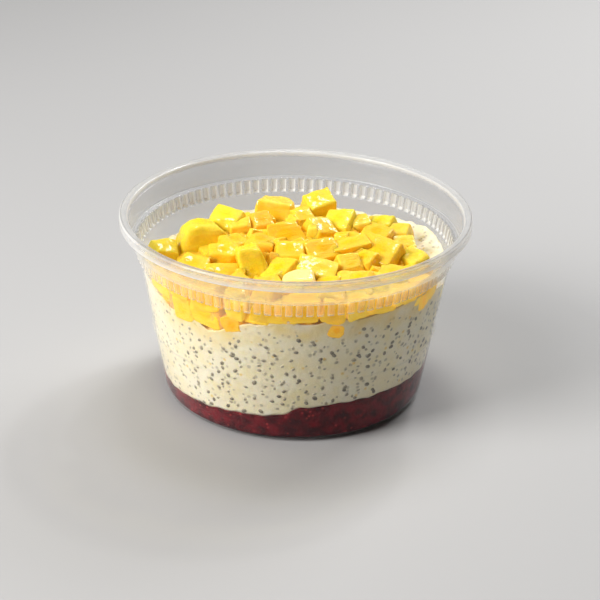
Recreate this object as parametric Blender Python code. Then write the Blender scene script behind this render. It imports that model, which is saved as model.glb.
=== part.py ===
"""Chia pudding in a clear round takeaway cup, built from its real pieces.

Four pieces, one inside the other: the clear cup, a red fruit layer on its floor, the pudding with its
chia seeds, and a heap of diced mango. +Z is up, the cup's axis is the Z axis and it stands on z = 0.
The front is -Y, and a bearing is the angle round the axis from the front, positive towards +X.
"""
import math
import random

import bmesh
import bpy
from mathutils import Euler, Matrix, Vector

MM = 0.001

# --- Driving dimensions -----------------------------------------------------------------------

# The cup: its size round and up, and the steps of its wall.
CUP_HEIGHT = 63.3 * MM
RIM_RADIUS = 58.5 * MM          # outside of the rim, which a standard 117 mm lid snaps over
RIM_SKIRT = 3.1 * MM            # how far the rim's edge is turned down
BASE_RADIUS = 43.7 * MM         # where the wall's taper would meet the table
BASE_CORNER = 3.0 * MM          # rounding between the base and the wall
TAPER = 8.53 / 50.0             # how much the wall widens for each unit of height
PANEL_RADIUS = 37.0 * MM        # the base's middle, raised inside a standing ring
PANEL_RISE = 0.6 * MM
STACK_RING_Z = 24.2 * MM        # a small ring round the wall, on which nested cups rest
STACK_RING_HEIGHT = 2.8 * MM
RIB_LOW = 49.6 * MM
LEDGE_Z = 54.0 * MM             # the ledge where the wall steps out, over the ribs
LEDGE_RADIUS = 54.6 * MM
NECK_RADIUS = 56.2 * MM         # the wall under the rim
WALL = 0.65 * MM
FLOOR = 1.4 * MM
RIB_COUNT = 100
RIB_INSET = 0.6 * MM
RIB_DEPTH = 0.85 * MM

# What is in the cup.
GAP = 0.3 * MM                  # room between neighbouring pieces
SEED_ROOM = 0.32 * MM           # extra room at the wall for the seeds that stand proud of the pudding
SEGMENTS = 72                   # facets round a filling
LAYER_RINGS = (0.0, 0.5, 0.8, 1.0)
FLAT_SHARE = 0.72               # out to this share of its radius the pudding's top is flat
TOP_RINGS = (0.0, FLAT_SHARE, 1.0)
HEAP_RINGS = (0.0, 0.5, 0.75, 1.0)
RED_LEVEL = 9.6 * MM            # mean height of the red layer's top at the wall
RED_RIGHT = 1.6 * MM            # how much higher that top is at the right, and in front
RED_FRONT = 2.2 * MM
RED_TWIST = 0.6 * MM
RED_STEP = 1.5 * MM             # half the step in it, just left of the front
PUDDING_LEVEL = 42.6 * MM       # height of the pudding under the fruit
PUDDING_EDGE = 0.9 * MM         # how much higher it is where it meets the wall
HEAP_LEVEL = 46.5 * MM          # height of the heap at its edge
HEAP_DOME = 9.0 * MM            # how much higher its middle is
HEAP_SPREAD = 47.0 * MM         # radius of that dome
HEAP_CENTRE = (1.0 * MM, 5.0 * MM)
HEAP_REACH = 42.2 * MM          # mean radius of the heap's outline
HEAP_FORWARD = 5.0 * MM         # how far the outline lies forwards, and to the left
HEAP_LEFT = 1.2 * MM
CORE_DEPTH = 4.5 * MM           # the heap's core lies this far under the tops of the dice
CORE_SLUMP = 2.5 * MM           # and this much further at its edge

# Hills and hollows in the pudding's edge, each (bearing, rise in millimetres, width in degrees).
PUDDING_HILLS = ((-38, -5.6, 17), (15, 1.6, 7), (52, 0.8, 12), (113, 4.2, 26), (178, 1.0, 40))

WELD = 0.002 * MM               # points this close are one point
FLAT_ANGLE = math.radians(0.02)  # faces that bend less than this are one face

SEED_LENGTH = 1.9 * MM
SEED_WIDTH = 1.3 * MM
SIDE_SEEDS = 84
TOP_SEEDS = 16
TOP_SEED_SPAN = (82.0, 160.0)   # bearings of the pudding's edge that the fruit leaves bare
GOLDEN_ANGLE = 137.508          # turning by this from seed to seed spreads them evenly

# The dice that show on top, each (x, y, length, width, height, turn, lean, lift): millimetres and
# degrees. A turn is about the vertical, a lean is about the die's length, a lift is above the dome.
TOP_DICE = (
    (-31.5, 6.0, 15.0, 12.5, 13.0, 20, 8, 3.4),
    (-43.0, -2.0, 10.0, 9.0, 10.0, 35, 38, 1.6),
    (-23.0, 14.5, 11.5, 9.0, 11.0, -35, 30, 1.8),
    (-18.5, 8.5, 7.0, 5.5, 6.5, 10, 5, 1.2),
    (-12.5, 12.5, 9.0, 9.0, 9.5, 25, 20, 1.0),
    (-14.0, -15.5, 9.0, 9.5, 12.0, 12, -12, 2.8),
    (-33.0, -15.0, 10.5, 9.5, 8.0, -12, 14, 1.0),
    (-23.5, -9.0, 11.0, 6.0, 6.5, -8, 22, 0.8),
    (-23.5, -20.0, 11.0, 9.0, 7.5, 6, 18, 0.6),
    (-16.0, -26.0, 9.0, 8.0, 9.0, -30, 32, 1.4),
    (-20.5, -1.0, 9.0, 8.0, 7.5, 40, 10, -0.4),
    (-11.5, -3.0, 10.0, 7.5, 7.0, -15, 8, -0.4),
    (-7.0, 24.0, 12.5, 9.5, 10.0, -8, -10, 3.2),
    (2.0, 19.5, 8.0, 8.5, 8.5, 30, 25, 0.8),
    (8.5, 27.0, 11.0, 9.5, 9.5, 22, 18, 4.0),
    (15.5, 14.0, 10.0, 10.5, 10.0, -28, 24, 1.6),
    (8.0, 6.5, 10.0, 9.0, 9.0, 35, 20, 1.0),
    (-4.0, 4.5, 13.0, 7.5, 7.5, 12, -28, 1.0),
    (-1.0, -10.0, 12.5, 9.5, 9.0, -8, 30, 0.8),
    (8.0, -9.0, 10.5, 9.0, 9.0, 24, 32, 0.8),
    (17.5, -6.0, 13.5, 7.0, 7.0, 22, 12, 1.2),
    (-4.0, -21.0, 10.5, 10.0, 8.5, -40, 24, 0.4),
    (7.5, -20.5, 12.5, 8.0, 7.5, -10, 28, 0.6),
    (18.0, -16.0, 9.5, 9.0, 8.0, 14, 30, 0.8),
    (1.5, -28.5, 13.0, 9.5, 10.0, 4, 14, 1.8),
    (-8.0, -29.0, 8.5, 8.0, 8.0, 20, 16, 0.2),
    (21.5, -25.0, 15.5, 8.0, 7.0, 5, 10, 1.2),
    (11.0, -28.5, 8.0, 6.5, 6.5, -20, 8, 0.2),
    (18.5, 1.5, 8.0, 6.5, 7.0, -10, 15, 0.0),
    (22.5, 14.0, 6.5, 6.5, 8.5, 10, 10, 1.2),
    (29.5, 20.5, 10.5, 8.5, 7.0, -25, 18, 1.2),
    (35.5, 15.0, 8.5, 7.5, 6.5, -12, 10, 1.0),
    (28.5, 8.0, 11.0, 8.5, 7.5, -32, 20, 1.0),
    (36.5, 6.0, 8.0, 7.0, 6.5, 10, 18, 0.6),
    (28.0, -6.5, 13.5, 11.5, 9.5, -30, 22, 1.6),
    (38.5, -5.5, 9.5, 9.5, 9.5, 40, 16, 1.6),
    (23.5, -13.0, 8.5, 6.5, 6.5, -45, 20, 0.8),
    (32.0, -17.5, 9.5, 8.5, 7.0, -15, 14, 0.6),
)
# The dice behind the front wall: rows of (radius, height, bearings), and (bearing, height) of the
# ones pushed down into the pudding at DEEP_RADIUS.
WALL_ROWS = (
    (43.5, 45.8, (-61, -45, -31, -17, -3, 11, 26, 41, 57)),
    (36.5, 47.5, (-30, -9, 13, 33)),
)
DEEP_DICE = ((-52, 43.2), (-39, 41.6), (-28.5, 42.4), (-18.5, 43.6), (15.5, 46.0))
DEEP_RADIUS = 44.5 * MM
DEEP_SIZE = (9.5 * MM, 9.0 * MM, 10.0 * MM)


# --- Shapes of the cup and its levels ---------------------------------------------------------

def outer_radius(z):
    """The tapered wall's outside at a height."""
    return BASE_RADIUS + TAPER * z


def inner_radius(z):
    """The room inside the cup at a height, with the rounded corner at the floor."""
    corner = BASE_CORNER - WALL
    depth = max(0.0, FLOOR + corner - z)
    rounding = corner - math.sqrt(max(0.0, corner ** 2 - min(depth, corner) ** 2))
    return outer_radius(z) - WALL - rounding


def bell(bearing, middle, width):
    """A smooth hill over the bearings, 1 at its middle."""
    away = (bearing - middle + 180.0) % 360.0 - 180.0
    return math.exp(-(away / width) ** 2)


def ease(value, low, high):
    """0 below low, 1 above high, and smooth between."""
    share = min(1.0, max(0.0, (value - low) / (high - low)))
    return share * share * (3.0 - 2.0 * share)


def bearing_of(x, y):
    """The angle round the cup from the front, in degrees."""
    return math.degrees(math.atan2(x, -y))


def red_top(bearing, share):
    """The red layer's top: deep at the right, thin at the left, with a step near the front."""
    turn = math.radians(bearing)
    side = RED_RIGHT * math.sin(turn) + RED_FRONT * math.cos(turn) + RED_TWIST * math.sin(2 * turn)
    step = RED_STEP * math.tanh((bearing + 1.0) / 3.0) * math.cos(turn / 2.0)
    return RED_LEVEL + (side + step) * ease(share, 0.0, 1.0)


def pudding_top(bearing, share):
    """The pudding's top: flat under the fruit, and pushed up and down where it meets the wall."""
    hills = sum(rise * MM * bell(bearing, middle, width) for middle, rise, width in PUDDING_HILLS)
    out = max(0.0, share - FLAT_SHARE) / (1.0 - FLAT_SHARE)
    return PUDDING_LEVEL + (PUDDING_EDGE + hills) * out


def heap_radius(bearing):
    """How far the heap reaches: to the wall in front, short of it behind."""
    turn = math.radians(bearing)
    return HEAP_REACH + HEAP_FORWARD * math.cos(turn) - HEAP_LEFT * math.sin(turn)


def heap_top(x, y):
    """The dome that the tops of the dice lie about."""
    away = math.hypot(x - HEAP_CENTRE[0], y - HEAP_CENTRE[1])
    return HEAP_LEVEL + HEAP_DOME * (1.0 - min(1.0, away / HEAP_SPREAD) ** 2)


# --- Blender helpers --------------------------------------------------------------------------

def clear_scene():
    """Start from an empty scene."""
    for thing in list(bpy.data.objects):
        bpy.data.objects.remove(thing, do_unlink=True)


def finish_material(name, colour, roughness, alpha=1.0):
    """One Principled material in the piece's own colour."""
    material = bpy.data.materials.new(name)
    material.use_nodes = True
    shader = material.node_tree.nodes["Principled BSDF"]
    shader.inputs["Base Color"].default_value = (*colour, 1.0)
    shader.inputs["Roughness"].default_value = roughness
    shader.inputs["Metallic"].default_value = 0.0
    shader.inputs["Alpha"].default_value = alpha
    return material


def add_object(name, bm, material=None):
    """Put a bmesh into the scene as a named object with its faces pointing out."""
    bmesh.ops.recalc_face_normals(bm, faces=bm.faces)
    mesh = bpy.data.meshes.new(name)
    bm.to_mesh(mesh)
    bm.free()
    thing = bpy.data.objects.new(name, mesh)
    bpy.context.scene.collection.objects.link(thing)
    if material:
        mesh.materials.append(material)
    return thing


def turned(profile, steps):
    """Turn a profile of (radius, height) points that starts and ends on the axis."""
    bm = bmesh.new()
    rings = []
    for radius, height in profile:
        turns = [math.tau * step / steps for step in range(steps if radius else 1)]
        rings.append([bm.verts.new((radius * math.sin(turn), -radius * math.cos(turn), height))
                      for turn in turns])
    for low, high in zip(rings, rings[1:]):
        for step in range(steps):
            corners = (low[step % len(low)], low[(step + 1) % len(low)],
                       high[(step + 1) % len(high)], high[step % len(high)])
            bm.faces.new(dict.fromkeys(corners))
    return bm


def fuse(body, parts):
    """Fuse loose parts to a body by one Boolean union, then take the parts away."""
    group = bpy.data.collections.new(body.name + "_parts")
    bpy.context.scene.collection.children.link(group)
    for part in parts:
        bpy.context.scene.collection.objects.unlink(part)
        group.objects.link(part)
    union = body.modifiers.new("Fuse", 'BOOLEAN')
    union.operation = 'UNION'
    union.operand_type = 'COLLECTION'
    union.collection = group
    union.solver = 'EXACT'
    bpy.context.view_layer.update()
    fused = bpy.data.meshes.new_from_object(body.evaluated_get(bpy.context.evaluated_depsgraph_get()))
    body.modifiers.clear()
    body.data = fused
    for part in parts:
        bpy.data.objects.remove(part, do_unlink=True)
    bpy.data.collections.remove(group)
    keep_largest(body)


def keep_largest(thing):
    """Join flat fragments, drop loose scraps and sealed hollows, and leave one closed body."""
    bm = bmesh.new()
    bm.from_mesh(thing.data)
    bmesh.ops.remove_doubles(bm, verts=bm.verts, dist=WELD)
    bmesh.ops.dissolve_limit(bm, angle_limit=FLAT_ANGLE, verts=bm.verts, edges=bm.edges)
    bmesh.ops.dissolve_degenerate(bm, edges=bm.edges, dist=2 * WELD)
    bmesh.ops.triangulate(bm, faces=bm.faces)
    left = dict.fromkeys(bm.faces)
    shells = []
    while left:
        reached = [left.popitem()[0]]
        shell = []
        while reached:
            face = reached.pop()
            shell.append(face)
            for edge in face.edges:
                for other in edge.link_faces:
                    if other in left:
                        del left[other]
                        reached.append(other)
        shells.append(shell)
    shells.sort(key=len)
    for shell in shells[:-1]:
        bmesh.ops.delete(bm, geom=shell, context='FACES')
    bm.to_mesh(thing.data)
    bm.free()


# --- The cup ----------------------------------------------------------------------------------

def corner_points(radius_at, low, rounding, steps=2):
    """The rounded corner between a floor at a height and the tapered wall."""
    centre = radius_at(low + rounding) - rounding
    points = []
    for step in range(steps + 1):
        angle = math.pi / 2 * step / steps
        points.append((centre + rounding * math.sin(angle), low + rounding * (1 - math.cos(angle))))
    return points


def cup_profile():
    """The cup's section: base, wall, ledge, rim, and back down inside to the floor."""
    ring_top = STACK_RING_Z + STACK_RING_HEIGHT
    ring_low = STACK_RING_Z - 1.0 * MM
    rim_low = CUP_HEIGHT - RIM_SKIRT
    under_rim = CUP_HEIGHT - 1.1 * MM
    outside = [(0.0, PANEL_RISE), (PANEL_RADIUS, PANEL_RISE), (PANEL_RADIUS + PANEL_RISE, 0.0)]
    outside += corner_points(outer_radius, 0.0, BASE_CORNER)
    outside += [
        (outer_radius(ring_low), ring_low),
        (outer_radius(ring_top), STACK_RING_Z),
        (outer_radius(ring_top), ring_top),
        (outer_radius(RIB_LOW), RIB_LOW),
        (outer_radius(LEDGE_Z) + 0.1 * MM, LEDGE_Z - 0.35 * MM),
        (LEDGE_RADIUS, LEDGE_Z),
        (NECK_RADIUS, under_rim),
    ]
    rim = [
        (RIM_RADIUS - WALL, under_rim),
        (RIM_RADIUS - WALL, rim_low),
        (RIM_RADIUS, rim_low),
        (RIM_RADIUS, CUP_HEIGHT - 0.6 * MM),
        (RIM_RADIUS - 0.7 * MM, CUP_HEIGHT),
        (RIM_RADIUS - 1.4 * MM, CUP_HEIGHT),
        (NECK_RADIUS - 0.5 * MM, CUP_HEIGHT - 0.7 * MM),
    ]
    inside = [
        (LEDGE_RADIUS - WALL, LEDGE_Z + 0.35 * MM),
        (outer_radius(LEDGE_Z) + 0.1 * MM - WALL, LEDGE_Z),
        (outer_radius(RIB_LOW) - WALL, RIB_LOW),
    ]
    inside += corner_points(lambda z: outer_radius(z) - WALL, FLOOR, BASE_CORNER - WALL)[::-1]
    inside += [(0.0, FLOOR)]
    return outside + rim + inside


def press_ribs(bm):
    """Press the row of ribs out of the band under the ledge, hollow on the inside."""
    low = RIB_LOW + 0.3 * MM
    high = LEDGE_Z - 0.6 * MM
    band = [face for face in bm.faces if low < face.calc_center_median().z < high
            and face.calc_area() > 4.0 * MM ** 2]
    bmesh.ops.inset_individual(bm, faces=band, thickness=RIB_INSET)
    for face in band:
        centre = face.calc_center_median()
        away = Vector((centre.x, centre.y, 0.0)).normalized()
        bmesh.ops.translate(bm, verts=face.verts, vec=away * RIB_DEPTH)


def make_cup(material):
    """The clear cup: one thin shell with a rolled rim, a ledge, ribs and a raised base."""
    bm = turned(cup_profile(), RIB_COUNT)
    press_ribs(bm)
    cup = add_object("container", bm, material)
    cup.data.shade_smooth()
    cup.data.set_sharp_from_angle(angle=math.radians(30))
    return cup


# --- The layers in the cup --------------------------------------------------------------------

def filled_layer(name, low_rings, rows, high_rings, place, material):
    """A round blank that fills the cup: place(bearing, share out, share up) gives each point."""
    profile = [(share, 0.0) for share in low_rings]
    profile += [(1.0, row) for row in rows]
    profile += [(share, 1.0) for share in reversed(high_rings)]
    bm = turned(profile, SEGMENTS)
    for vert in bm.verts:
        share = math.hypot(vert.co.x, vert.co.y)
        vert.co = place(bearing_of(vert.co.x, vert.co.y), min(1.0, share), vert.co.z)
    bmesh.ops.triangulate(bm, faces=bm.faces, quad_method='SHORT_EDGE')
    return add_object(name, bm, material)


def at_bearing(bearing, radius, height):
    """A point at a bearing, a radius and a height."""
    turn = math.radians(bearing)
    return Vector((radius * math.sin(turn), -radius * math.cos(turn), height))


def make_red_layer(material):
    """The red fruit layer, which fills the cup's bottom corner."""
    floor = FLOOR + GAP

    def place(bearing, share, up):
        height = floor + up * (red_top(bearing, share) - floor)
        return at_bearing(bearing, share * (inner_radius(height) - GAP), height)

    layer = filled_layer("red_fruit_layer", (0.0, 1.0), (0.1, 0.3), LAYER_RINGS, place, material)
    layer.data.shade_smooth()
    layer.data.set_sharp_from_angle(angle=math.radians(40))
    return layer


def make_seed(place, normal, turn, size):
    """A chia seed: a small egg half sunk in the surface, long along its turn."""
    bm = bmesh.new()
    bmesh.ops.create_icosphere(bm, subdivisions=1, radius=0.5)
    bmesh.ops.scale(bm, verts=bm.verts, vec=(SEED_LENGTH * size, SEED_WIDTH * size, SEED_WIDTH * size))
    lay = normal.to_track_quat('Z', 'Y').to_matrix().to_4x4() @ Matrix.Rotation(turn, 4, 'Z')
    bmesh.ops.transform(bm, verts=bm.verts, matrix=Matrix.Translation(place) @ lay)
    return add_object("seed", bm)


def pudding_seeds():
    """Seeds spread evenly over the pudding's side, and over the rim of it that the fruit leaves bare."""
    draw = random.Random(7)
    seeds = []
    sunk = SEED_WIDTH * 0.5 - SEED_ROOM * 0.72
    for index in range(SIDE_SEEDS):
        bearing = index * GOLDEN_ANGLE % 360.0 - 180.0
        low = red_top(bearing, 1.0) + GAP + 2.2 * MM
        high = pudding_top(bearing, 1.0) - 2.0 * MM
        height = low + (high - low) * ((index + 0.5) / SIDE_SEEDS)
        radius = inner_radius(height) - GAP - SEED_ROOM - sunk
        place = at_bearing(bearing, radius, height)
        normal = Vector((place.x, place.y, -TAPER * radius)).normalized()
        seeds.append(make_seed(place, normal, draw.uniform(0, math.pi), draw.uniform(0.85, 1.0)))
    first, last = TOP_SEED_SPAN
    for index in range(TOP_SEEDS):
        bearing = first + (last - first) * (index + 0.5) / TOP_SEEDS
        share = 0.93 + 0.032 * ((index * 7) % 3 - 1)
        radius = share * (inner_radius(PUDDING_LEVEL) - GAP - SEED_ROOM)
        place = at_bearing(bearing, radius, pudding_top(bearing, share) - 0.2 * MM)
        seeds.append(make_seed(place, Vector((0, 0, 1)), draw.uniform(0, math.pi), 0.95))
    return seeds


def make_pudding(material):
    """The pudding: it lies on the red layer and carries the fruit, with seeds on what shows."""
    def place(bearing, share, up):
        low = red_top(bearing, share) + GAP
        height = low + up * (pudding_top(bearing, share) - low)
        return at_bearing(bearing, share * (inner_radius(height) - GAP - SEED_ROOM), height)

    pudding = filled_layer("chia_pudding", LAYER_RINGS, (), TOP_RINGS, place, material)
    fuse(pudding, pudding_seeds())
    return pudding


# --- The mango --------------------------------------------------------------------------------

def press_in(point):
    """Keep a corner of a die inside the cup's wall and above the pudding round it."""
    bearing = bearing_of(point.x, point.y)
    wall = inner_radius(point.z) - GAP - 0.1 * MM
    radius = min(math.hypot(point.x, point.y), wall)
    share = radius / (inner_radius(PUDDING_LEVEL) - GAP)
    rest = max(pudding_top(bearing + side, share) for side in (-6, 0, 6)) + 3.0 * GAP
    return at_bearing(bearing, radius, max(point.z, rest))


def make_die(draw, place, sizes, turn, lean):
    """One die of mango: a box with uneven corners, turned and leaning."""
    bm = bmesh.new()
    bmesh.ops.create_cube(bm, size=1.0)
    for vert in bm.verts:
        vert.co *= 1.0 + draw.uniform(-0.13, 0.07)
        vert.co.x += draw.uniform(-0.07, 0.07)
        vert.co.y += draw.uniform(-0.07, 0.07)
    bmesh.ops.scale(bm, verts=bm.verts, vec=sizes)
    tilt = Euler((math.radians(lean), math.radians(draw.uniform(-10, 10)), math.radians(turn)))
    bmesh.ops.transform(bm, verts=bm.verts, matrix=Matrix.Translation(place) @ tilt.to_matrix().to_4x4())
    for vert in bm.verts:
        vert.co = press_in(vert.co)
    return add_object("die", bm)


def mango_dice():
    """Every die that shows: the hand-laid ones on top, and the rows behind the front wall."""
    draw = random.Random(55)
    dice = []
    for x, y, length, width, height, turn, lean, lift in TOP_DICE:
        level = heap_top(x * MM, y * MM) + (lift - height / 2) * MM
        place = Vector((x * MM, y * MM, level))
        dice.append(make_die(draw, place, (length * MM, width * MM, height * MM), turn, lean))
    for radius, level, bearings in WALL_ROWS:
        for bearing in bearings:
            sizes = tuple(draw.uniform(8.5, 11.5) * MM for _ in range(3))
            place = at_bearing(bearing, radius * MM, level * MM)
            dice.append(make_die(draw, place, sizes, draw.uniform(0, 90), draw.uniform(-20, 20)))
    for bearing, level in DEEP_DICE:
        place = at_bearing(bearing, DEEP_RADIUS, level * MM)
        dice.append(make_die(draw, place, DEEP_SIZE, bearing, 8))
    return dice


def make_core(material):
    """The heap's core: a low dome on the pudding, out to the heap's uneven outline."""
    room = inner_radius(PUDDING_LEVEL) - GAP - SEED_ROOM
    knee = HEAP_RINGS[2]

    def place(bearing, share, up):
        radius = FLAT_SHARE * room * min(1.0, share / knee)
        radius += (heap_radius(bearing) - FLAT_SHARE * room) * max(0.0, share - knee) / (1.0 - knee)
        low = pudding_top(bearing, radius / room) + 2.0 * GAP
        spot = at_bearing(bearing, radius, low)
        slump = CORE_DEPTH + CORE_SLUMP * ease(share, 0.6, 1.0)
        high = max(heap_top(spot.x, spot.y) - slump, low + 1.5 * MM)
        spot.z = low + up * (high - low)
        return spot

    return filled_layer("mango_dice", HEAP_RINGS, (), HEAP_RINGS, place, material)


def make_mango(material):
    """The heap of diced mango: dice fused to the core."""
    heap = make_core(material)
    fuse(heap, mango_dice())
    return heap


# --- The whole --------------------------------------------------------------------------------

def main():
    clear_scene()
    clear_plastic = finish_material("clear_plastic", (0.86, 0.87, 0.88), 0.22, 0.3)
    red_fruit = finish_material("red_fruit", (0.33, 0.012, 0.03), 0.35)
    pudding_cream = finish_material("pudding_cream", (0.80, 0.74, 0.55), 0.45)
    mango_flesh = finish_material("mango_flesh", (0.95, 0.62, 0.05), 0.3)
    pieces = [
        make_cup(clear_plastic),
        make_red_layer(red_fruit),
        make_pudding(pudding_cream),
        make_mango(mango_flesh),
    ]
    holder = bpy.data.objects.new("chia_pudding_cup", None)
    bpy.context.scene.collection.objects.link(holder)
    for piece in pieces:
        piece.parent = holder


main()
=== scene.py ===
# %% [markdown]
# # A layered chia pudding in its clear cup
#
# This notebook dresses a small food model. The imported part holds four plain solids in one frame: the
# clear cup, the red fruit on its floor, the pudding and the heap of diced mango. The cells make a fine
# surface and a finish for each of them, after the helpers that they share. +Z is up, the cup's axis is
# the Z axis, and the front is -Y. A bearing is the angle round the axis from the front, positive towards
# +X, and sizes are in metres unless a comment says otherwise.

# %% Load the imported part
import math

import bpy
import numpy as np
from mathutils import Matrix, Vector


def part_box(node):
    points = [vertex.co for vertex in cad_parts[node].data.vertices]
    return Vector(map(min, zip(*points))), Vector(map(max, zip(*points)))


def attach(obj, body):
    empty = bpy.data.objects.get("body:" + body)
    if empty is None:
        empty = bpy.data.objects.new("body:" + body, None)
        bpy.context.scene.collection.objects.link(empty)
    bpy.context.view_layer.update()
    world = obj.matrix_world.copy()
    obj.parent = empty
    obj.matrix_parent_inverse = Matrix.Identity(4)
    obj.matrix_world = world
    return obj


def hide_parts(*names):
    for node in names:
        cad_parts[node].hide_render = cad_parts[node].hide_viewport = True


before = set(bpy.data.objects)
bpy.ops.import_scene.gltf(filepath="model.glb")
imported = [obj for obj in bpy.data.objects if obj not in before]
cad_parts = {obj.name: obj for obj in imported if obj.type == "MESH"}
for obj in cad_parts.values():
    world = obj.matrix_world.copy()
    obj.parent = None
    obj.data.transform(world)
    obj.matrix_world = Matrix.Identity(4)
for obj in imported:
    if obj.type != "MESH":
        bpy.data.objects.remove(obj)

MM = 0.001
TURN = 2 * math.pi
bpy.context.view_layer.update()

# %% [markdown]
# ## From arrays to meshes
#
# Every piece here is a sheet of points worked out by numpy, so one helper is enough to put it into
# Blender. A turned thing, such as the cup, is a stack of rings: each ring joins its neighbour by quads,
# and the first and last rings are closed by one point on the axis. Rings that climb on the outside while
# they run anticlockwise, seen from above, give faces that point outwards.

# %% Put arrays into a mesh
def put_mesh(name, points, faces, finish, marks=None):
    """A smooth mesh from points (n, 3) and a list of face arrays, each (m, 3) or (m, 4).

    marks holds named numbers or vectors, one for each point, that a finish can read as attributes.
    """
    mesh = bpy.data.meshes.new(name)
    mesh.vertices.add(len(points))
    mesh.vertices.foreach_set("co", np.asarray(points, np.float32).ravel())
    corners = np.concatenate([part.ravel() for part in faces])
    sizes = np.concatenate([np.full(len(part), part.shape[1]) for part in faces])
    mesh.loops.add(len(corners))
    mesh.loops.foreach_set("vertex_index", corners.astype(np.int32))
    mesh.polygons.add(len(sizes))
    mesh.polygons.foreach_set("loop_start", (np.cumsum(sizes) - sizes).astype(np.int32))
    mesh.update(calc_edges=True)
    mesh.shade_smooth()
    for mark, values in (marks or {}).items():
        values = np.asarray(values, np.float32)
        kind, slot = ('FLOAT', "value") if values.ndim == 1 else ('FLOAT_VECTOR', "vector")
        mesh.attributes.new(mark, kind, 'POINT').data.foreach_set(slot, values.ravel())
    mesh.materials.append(finish)
    piece = bpy.data.objects.new(name, mesh)
    bpy.context.scene.collection.objects.link(piece)
    print(name, len(points), "points,", int((sizes - 2).sum()), "triangles")
    return piece


def ring_faces(rings, around):
    """Quads between the rings of a grid, and a fan of triangles to a pole before the first and after
    the last: point 0 is the first pole, then come the rings, then the last pole."""
    grid = 1 + np.arange(rings * around).reshape(rings, around)
    beside = np.roll(grid, -1, axis=1)
    quads = np.stack([grid[:-1], beside[:-1], beside[1:], grid[1:]], axis=-1).reshape(-1, 4)
    last = 1 + rings * around
    low = np.stack([np.zeros(around, int), beside[0], grid[0]], axis=-1)
    high = np.stack([np.full(around, last), grid[-1], beside[-1]], axis=-1)
    return [quads, low, high]


def turned(name, rings, poles, finish, marks=None):
    """A closed skin over rings (rows, columns, 3) with a pole at each end."""
    points = np.concatenate([poles[:1], rings.reshape(-1, 3), poles[1:]])
    return put_mesh(name, points, ring_faces(*rings.shape[:2]), finish, marks)


def with_poles(grid, high=0.0):
    """A mark's grid as one row, after 0 for the first pole and before its value at the last one."""
    return np.concatenate([[0.0], grid.ravel(), [high]])


def around_axis(bearing, radius, height):
    """Points at bearings in degrees, radii and heights: (r sin b, -r cos b, z)."""
    turn = np.radians(bearing)
    parts = np.broadcast_arrays(radius * np.sin(turn), -radius * np.cos(turn), height)
    return np.stack(parts, axis=-1)


print("3 rings of 8 points and two poles have", sum(len(part) for part in ring_faces(3, 8)), "faces")

# %% [markdown]
# ## Uneven numbers
#
# Food is never regular, but a script has to give the same thing each run. A sum of a few sine waves in
# random directions makes a smooth, cheap unevenness in space, and a generator with a fixed seed makes
# the draws.

# %% Smooth unevenness
GOLDEN_ANGLE = 137.508          # steps of this angle spread things without lining them up


def waves(points, size, seed, count=9):
    """A smooth field in space: the sum of sines of (p . d / size + phase) over random unit directions d,
    divided by the root of their count, so that it mostly lies between -1 and 1."""
    draw = np.random.default_rng(seed)
    ways = draw.normal(size=(count, 3))
    ways /= np.linalg.norm(ways, axis=1, keepdims=True)
    pace = TURN / size * draw.uniform(0.6, 1.5, count)
    phase = draw.uniform(0, TURN, count)
    return np.sin(points @ ways.T * pace + phase).sum(axis=-1) / math.sqrt(count)


def smooth_step(low, high, value):
    """0 at low, 1 at high, and 3t^2 - 2t^3 between; low above high turns it round."""
    share = np.clip((value - low) / (high - low), 0, 1)
    return share * share * (3 - 2 * share)


def between(rise, fall, value):
    """0, then 1 once past the two ends of rise, and 0 again past the two ends of fall."""
    return smooth_step(*rise, value) * (1 - smooth_step(*fall, value))


print("a smooth step:", smooth_step(0, 4, np.arange(5)).round(2).tolist())

# %% [markdown]
# ## Shader sums written as Python
#
# A material is a graph of nodes, and long graphs are hard to read as code. Here a socket is wrapped in a
# small class, so that `1 - mask * 0.5` adds the Math nodes by itself. Any other node comes from one
# method: it takes the node's type, its settings and what goes into its sockets.

# %% A socket that takes part in sums
class Wire:
    """One output socket of a finish's nodes."""

    def __init__(self, finish, socket):
        self.finish = finish
        self.socket = socket

    def math(self, operation, first, second):
        return self.finish.node('ShaderNodeMath', {"operation": operation}, {0: first, 1: second})

    def __add__(self, other):
        return self.math('ADD', self, other)

    def __radd__(self, other):
        return self.math('ADD', other, self)

    def __sub__(self, other):
        return self.math('SUBTRACT', self, other)

    def __rsub__(self, other):
        return self.math('SUBTRACT', other, self)

    def __mul__(self, other):
        return self.math('MULTIPLY', self, other)

    def __rmul__(self, other):
        return self.math('MULTIPLY', other, self)

    def __pow__(self, other):
        return self.math('POWER', self, other)

    def __rpow__(self, other):
        return self.math('POWER', other, self)


print("a wire takes part in +, -, * and **")

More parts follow.
